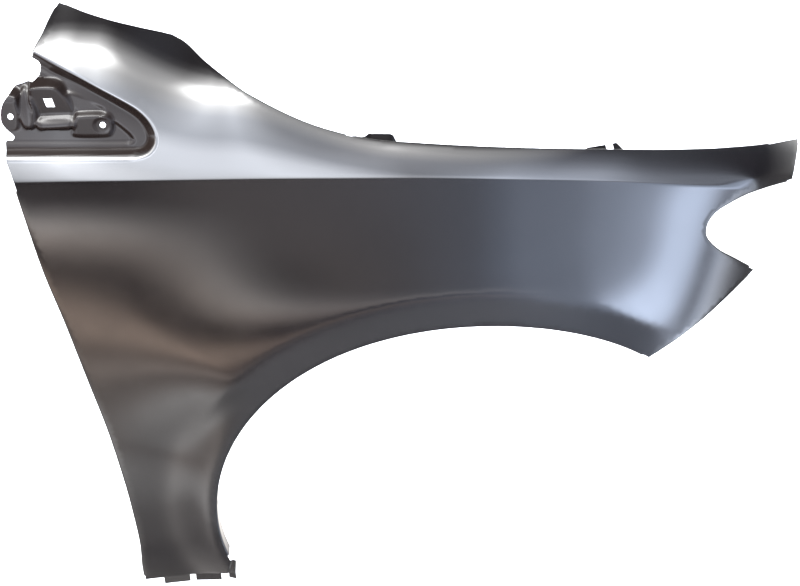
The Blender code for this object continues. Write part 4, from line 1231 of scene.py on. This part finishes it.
class FENDER_OT_stage(bpy.types.Operator):
    """Lays the plain floor and sets up the soft glow all round and the camera"""

    bl_idname = "fender.stage"
    bl_label = "Set up studio"

    # The camera's place and target, in metres in the frame
    EYE = (0.0337, -1.33827, 0.81292)
    TARGET = (0.0337, -0.08205, -0.16503)
    SENSOR_WIDTH = 36
    FLOOR_HALF_WIDTH = 8
    FLOOR_ROUGHNESS = 0.9
    PALE = (1.0, 1.0, 1.0, 1)
    # What a full warmth, and a full coolness below zero, adds to red, green and blue
    WARM = (0.24, -0.03, -0.2)
    COOL = (0.3, 0.08, -0.38)

    # The studio's glow in layers. Each has its brightness and warmth by the angle round the car's
    # long axis, in degrees up from the camera's side of the horizon, and its share along the car.
    FLOOR_GLOW = (
        ((-80, 0.04, 0.2), (-61, 0.03, 0.2), (-54, 0.045, 0.2), (-50.5, 0.05, 0.2),
         (-48, 0.10, 0.1), (-46, 0.12, 0.1), (-44, 0.07, 0.4), (-42.2, 0.045, 0.6),
         (-40.8, 0.035, 0.6), (-39.2, 0.10, 0.7), (-37.4, 0.035, 0.9), (-36.4, 0.045, 1.0),
         (-34.8, 0.115, 1.1), (-32.6, 0.085, 1.1), (-31.2, 0.02, 1.0), (-30, 0.005, 1.0),
         (-28.6, 0.02, 1.0), (-26.5, 0.13, 0.6), (-24.5, 0.17, 0.3), (-22, 0.07, 0.2),
         (-19, 0.015, 0.4), (-10, 0.01, 0.5), (7, 0.01, 0.5), (10, 0.0, 0.5)),
        ((-1.0, 1.0), (-0.4, 0.95), (-0.26, 1.4), (-0.22, 1.2), (-0.17, 0.65), (-0.12, 0.45),
         (0.0, 0.35), (0.2, 0.25), (0.5, 0.0)))
    WALL_GLOW = (
        ((-32, 0.0, 0.7), (-24, 0.7, 0.7), (-16, 1.0, 0.7), (2, 1.0, 0.5), (8, 0.0, 0)),
        ((-0.2, 0.0), (-0.12, 0.028), (0.0, 0.02), (0.15, 0.01), (0.3, 0.0)))
    WINDOW_GLOW = (
        ((6, 0.0, 0), (16, 0.32, -0.15), (25, 0.44, -0.15), (36, 0.56, -0.2),
         (48, 0.56, -0.2), (62, 0.35, -0.25), (80, 0.46, -0.2), (96, 0.80, 0), (107, 0.66, 0),
         (114, 0.32, 0), (122, 0.06, 0), (130, 0.012, 0)),
        ((-1.0, 1.2), (-0.3, 1.2), (-0.25, 2.4), (-0.2, 2.0), (-0.15, 1.1), (-0.1, 1.2),
         (-0.05, 1.35), (-0.02, 1.15), (0.03, 0.9), (0.1, 0.45), (0.2, 0.3), (0.3, 0.2),
         (0.5, 0.0)))
    LAMP_GLOW = (
        ((92, 0.0, 0), (96, 0.25, 0), (100, 0.8, 0), (103, 0.6, 0), (109, 0.0, 0)),
        ((-0.6, 0.0), (-0.35, 4.0), (-0.05, 4.0), (0.03, 1.2), (0.12, 0.0)))
    NOSE_FLOOR_GLOW = (
        ((-180, 0.05, 0), (-77, 0.1, -0.1), (-71, 0.3, -0.2), (-64, 0.5, -0.4),
         (-60, 0.4, -0.5), (-56, 0.35, -0.5), (-50, 0.5, -0.5), (-42, 0.9, -0.6),
         (-34, 1.0, -0.6), (-24, 1.0, -0.6), (-19, 0.95, -0.6), (-11, 1.0, -0.6),
         (-5, 0.9, -0.6), (4, 0.9, -0.6), (10, 0, 0)),
        ((-1.0, 0.0), (-0.2, 0.0), (0.0, 0.022), (0.1, 0.04), (0.2, 0.055), (0.38, 0.12),
         (0.6, 0.13), (0.8, 0.16), (1.0, 0.2)))
    NOSE_LOW_GLOW = (
        ((-85, 0.0, 0), (-75, 0.3, -0.3), (-66, 0.8, -0.4), (-61, 0.5, -0.5),
         (-57, 0.15, -0.5), (-53, 0.3, -0.5), (-48, 0.9, -0.6), (-42, 1.05, -0.6),
         (-34, 0.95, -0.6), (-30, 0.55, -0.6), (-25, 0.2, -0.6), (-16, 0.1, -0.6),
         (6, 0.15, -0.6), (10, 0, 0)),
        ((0.5, 0.0), (0.58, 0.05), (0.66, 0.36), (0.74, 0.46), (0.82, 0.40), (0.9, 0.25),
         (1.0, 0.18)))
    NOSE_WINDOW_GLOW = (
        ((4, 0.0, 0), (10, 0.10, -0.4), (25, 0.42, -0.4), (60, 0.33, -0.4), (72, 0.20, -0.4),
         (86, 0.10, -0.4), (100, 0.05, -0.4), (115, 0.03, -0.4), (180, 0.01, -0.4)),
        ((-1.0, 0.0), (0.1, 0.0), (0.35, 1.0), (0.7, 0.9), (0.85, 0.5), (1.0, 0.25)))
    BACK_GLOW = (
        ((-180, 0.18, 0), (-170, 0.22, 0), (-162, 0.08, 0.2), (-154, 0.20, 0.1),
         (-144, 0.07, 0.2), (-134, 0.16, 0.2), (-122, 0.06, 0.2), (-108, 0.12, 0), (-92, 0.04, 0),
         (-85, 0.0, 0), (158, 0.0, 0), (166, 0.05, 0), (174, 0.12, 0), (180, 0.18, 0)),
        ((-1.0, 0.5), (-0.6, 1.0), (-0.2, 0.8), (0.2, 1.0), (0.6, 0.8), (0.9, 0.3), (1.0, 0.0)))
    GLOWS = (FLOOR_GLOW, WALL_GLOW, WINDOW_GLOW, LAMP_GLOW, NOSE_FLOOR_GLOW, NOSE_LOW_GLOW,
             NOSE_WINDOW_GLOW, BACK_GLOW)

    def execute(self, context):
        look = context.scene.fender_studio
        self.add_floor(context.scene, look)
        self.add_world(context.scene, look)
        context.scene.view_settings.view_transform = "Standard"
        self.add_camera(context.scene, look)
        return {"FINISHED"}

    def add_floor(self, scene, look):
        mesh = bpy.data.meshes.new("studio_floor")
        tool = bmesh.new()
        bmesh.ops.create_grid(tool, x_segments=2, y_segments=2, size=self.FLOOR_HALF_WIDTH)
        height = CAD_BOX[0].z - look.floor_drop
        bmesh.ops.translate(tool, verts=tool.verts, vec=(0, 0, height))
        tool.to_mesh(mesh)
        tool.free()
        floor = bpy.data.objects.new("studio_floor", mesh)
        scene.collection.objects.link(floor)
        material = bpy.data.materials.new("studio_floor")
        material.use_nodes = True
        Nodes(material.node_tree).finish_surface({
            "Base Color": (*look.floor_colour, 1), "Roughness": self.FLOOR_ROUGHNESS})
        mesh.materials.append(material)
        floor.visible_glossy = False
        floor.visible_shadow = False

    def tinted(self, level, warmth):
        """A grey level made warmer, or cooler where the warmth is below zero."""
        shifts = self.WARM if warmth > 0 else self.COOL
        return [level * (1 + shift * warmth) for shift in shifts]

    def add_world(self, scene, look):
        """A soft glow all round in layers, and a plain pale background behind the panel."""
        world = bpy.data.worlds.new("studio")
        world.use_nodes = True
        nodes = Nodes(world.node_tree)
        place = nodes.add("ShaderNodeTexCoord").outputs["Generated"]
        parts = nodes.add("ShaderNodeSeparateXYZ", {"Vector": place}).outputs
        toward = nodes.reckon("MULTIPLY", parts["Y"], -1.0)
        turn = nodes.reckon("DEGREES", nodes.reckon("ARCTAN2", parts["Z"], toward))

        def along(value, stops):
            first, last = stops[0][0], stops[-1][0]
            return nodes.ramp(nodes.spread(value, first, last), [
                ((at - first) / (last - first), colour) for at, colour in stops])

        total = (0.0, 0.0, 0.0)
        for turns, ways in self.GLOWS:
            total = nodes.reckon(
                "MULTIPLY_ADD", along(turn, [(a, self.tinted(v, w)) for a, v, w in turns]),
                along(parts["X"], [(x, (v, v, v)) for x, v in ways]), total,
                kind="ShaderNodeVectorMath")
        ray = nodes.add("ShaderNodeLightPath").outputs["Is Camera Ray"]
        studio = nodes.add("ShaderNodeBackground", {"Color": total, "Strength": look.glow})
        pale = nodes.add("ShaderNodeBackground", {"Color": self.PALE, "Strength": 1.0})
        seen = nodes.add("ShaderNodeMixShader", {0: ray, 1: studio.outputs[0], 2: pale.outputs[0]})
        nodes.add("ShaderNodeOutputWorld", {"Surface": seen.outputs[0]})
        scene.world = world

    def add_camera(self, scene, look):
        camera = bpy.data.cameras.new("photo_view")
        camera.lens = look.lens
        camera.sensor_width = self.SENSOR_WIDTH
        viewer = bpy.data.objects.new("photo_view", camera)
        viewer.location = self.EYE
        aim = Vector(self.TARGET) - Vector(self.EYE)
        viewer.rotation_euler = aim.to_track_quat("-Z", "Y").to_euler()
        scene.collection.objects.link(viewer)
        scene.camera = viewer


class FENDER_PT_sidebar(bpy.types.Panel):
    """The fender's sizes, its finish and the studio"""

    bl_idname = "FENDER_PT_sidebar"
    bl_label = "Fender"
    bl_space_type = "VIEW_3D"
    bl_region_type = "UI"
    bl_category = "Fender"

    def draw(self, context):
        scene = context.scene
        groups = (("Sheet", scene.fender_sheet), ("Recess", scene.fender_recess),
                  ("Coat", scene.fender_coat), ("Studio", scene.fender_studio))
        for title, group in groups:
            box = self.layout.box()
            box.label(text=title)
            for name in group.__annotations__:
                box.prop(group, name)
        self.layout.operator(FENDER_OT_panel.bl_idname)
        self.layout.operator(FENDER_OT_stage.bl_idname)


CLASSES = (FenderSheet, TrimRecess, CoatFinish, StudioLook, FENDER_OT_panel, FENDER_OT_stage,
           FENDER_PT_sidebar)


def register():
    for kind in CLASSES:
        bpy.utils.register_class(kind)
    bpy.types.Scene.fender_sheet = PointerProperty(type=FenderSheet)
    bpy.types.Scene.fender_recess = PointerProperty(type=TrimRecess)
    bpy.types.Scene.fender_coat = PointerProperty(type=CoatFinish)
    bpy.types.Scene.fender_studio = PointerProperty(type=StudioLook)


def unregister():
    for name in ("fender_sheet", "fender_recess", "fender_coat", "fender_studio"):
        delattr(bpy.types.Scene, name)
    for kind in reversed(CLASSES):
        bpy.utils.unregister_class(kind)


def main():
    register()
    bpy.ops.fender.panel()
    bpy.ops.fender.stage()


if __name__ == "__main__":
    main()
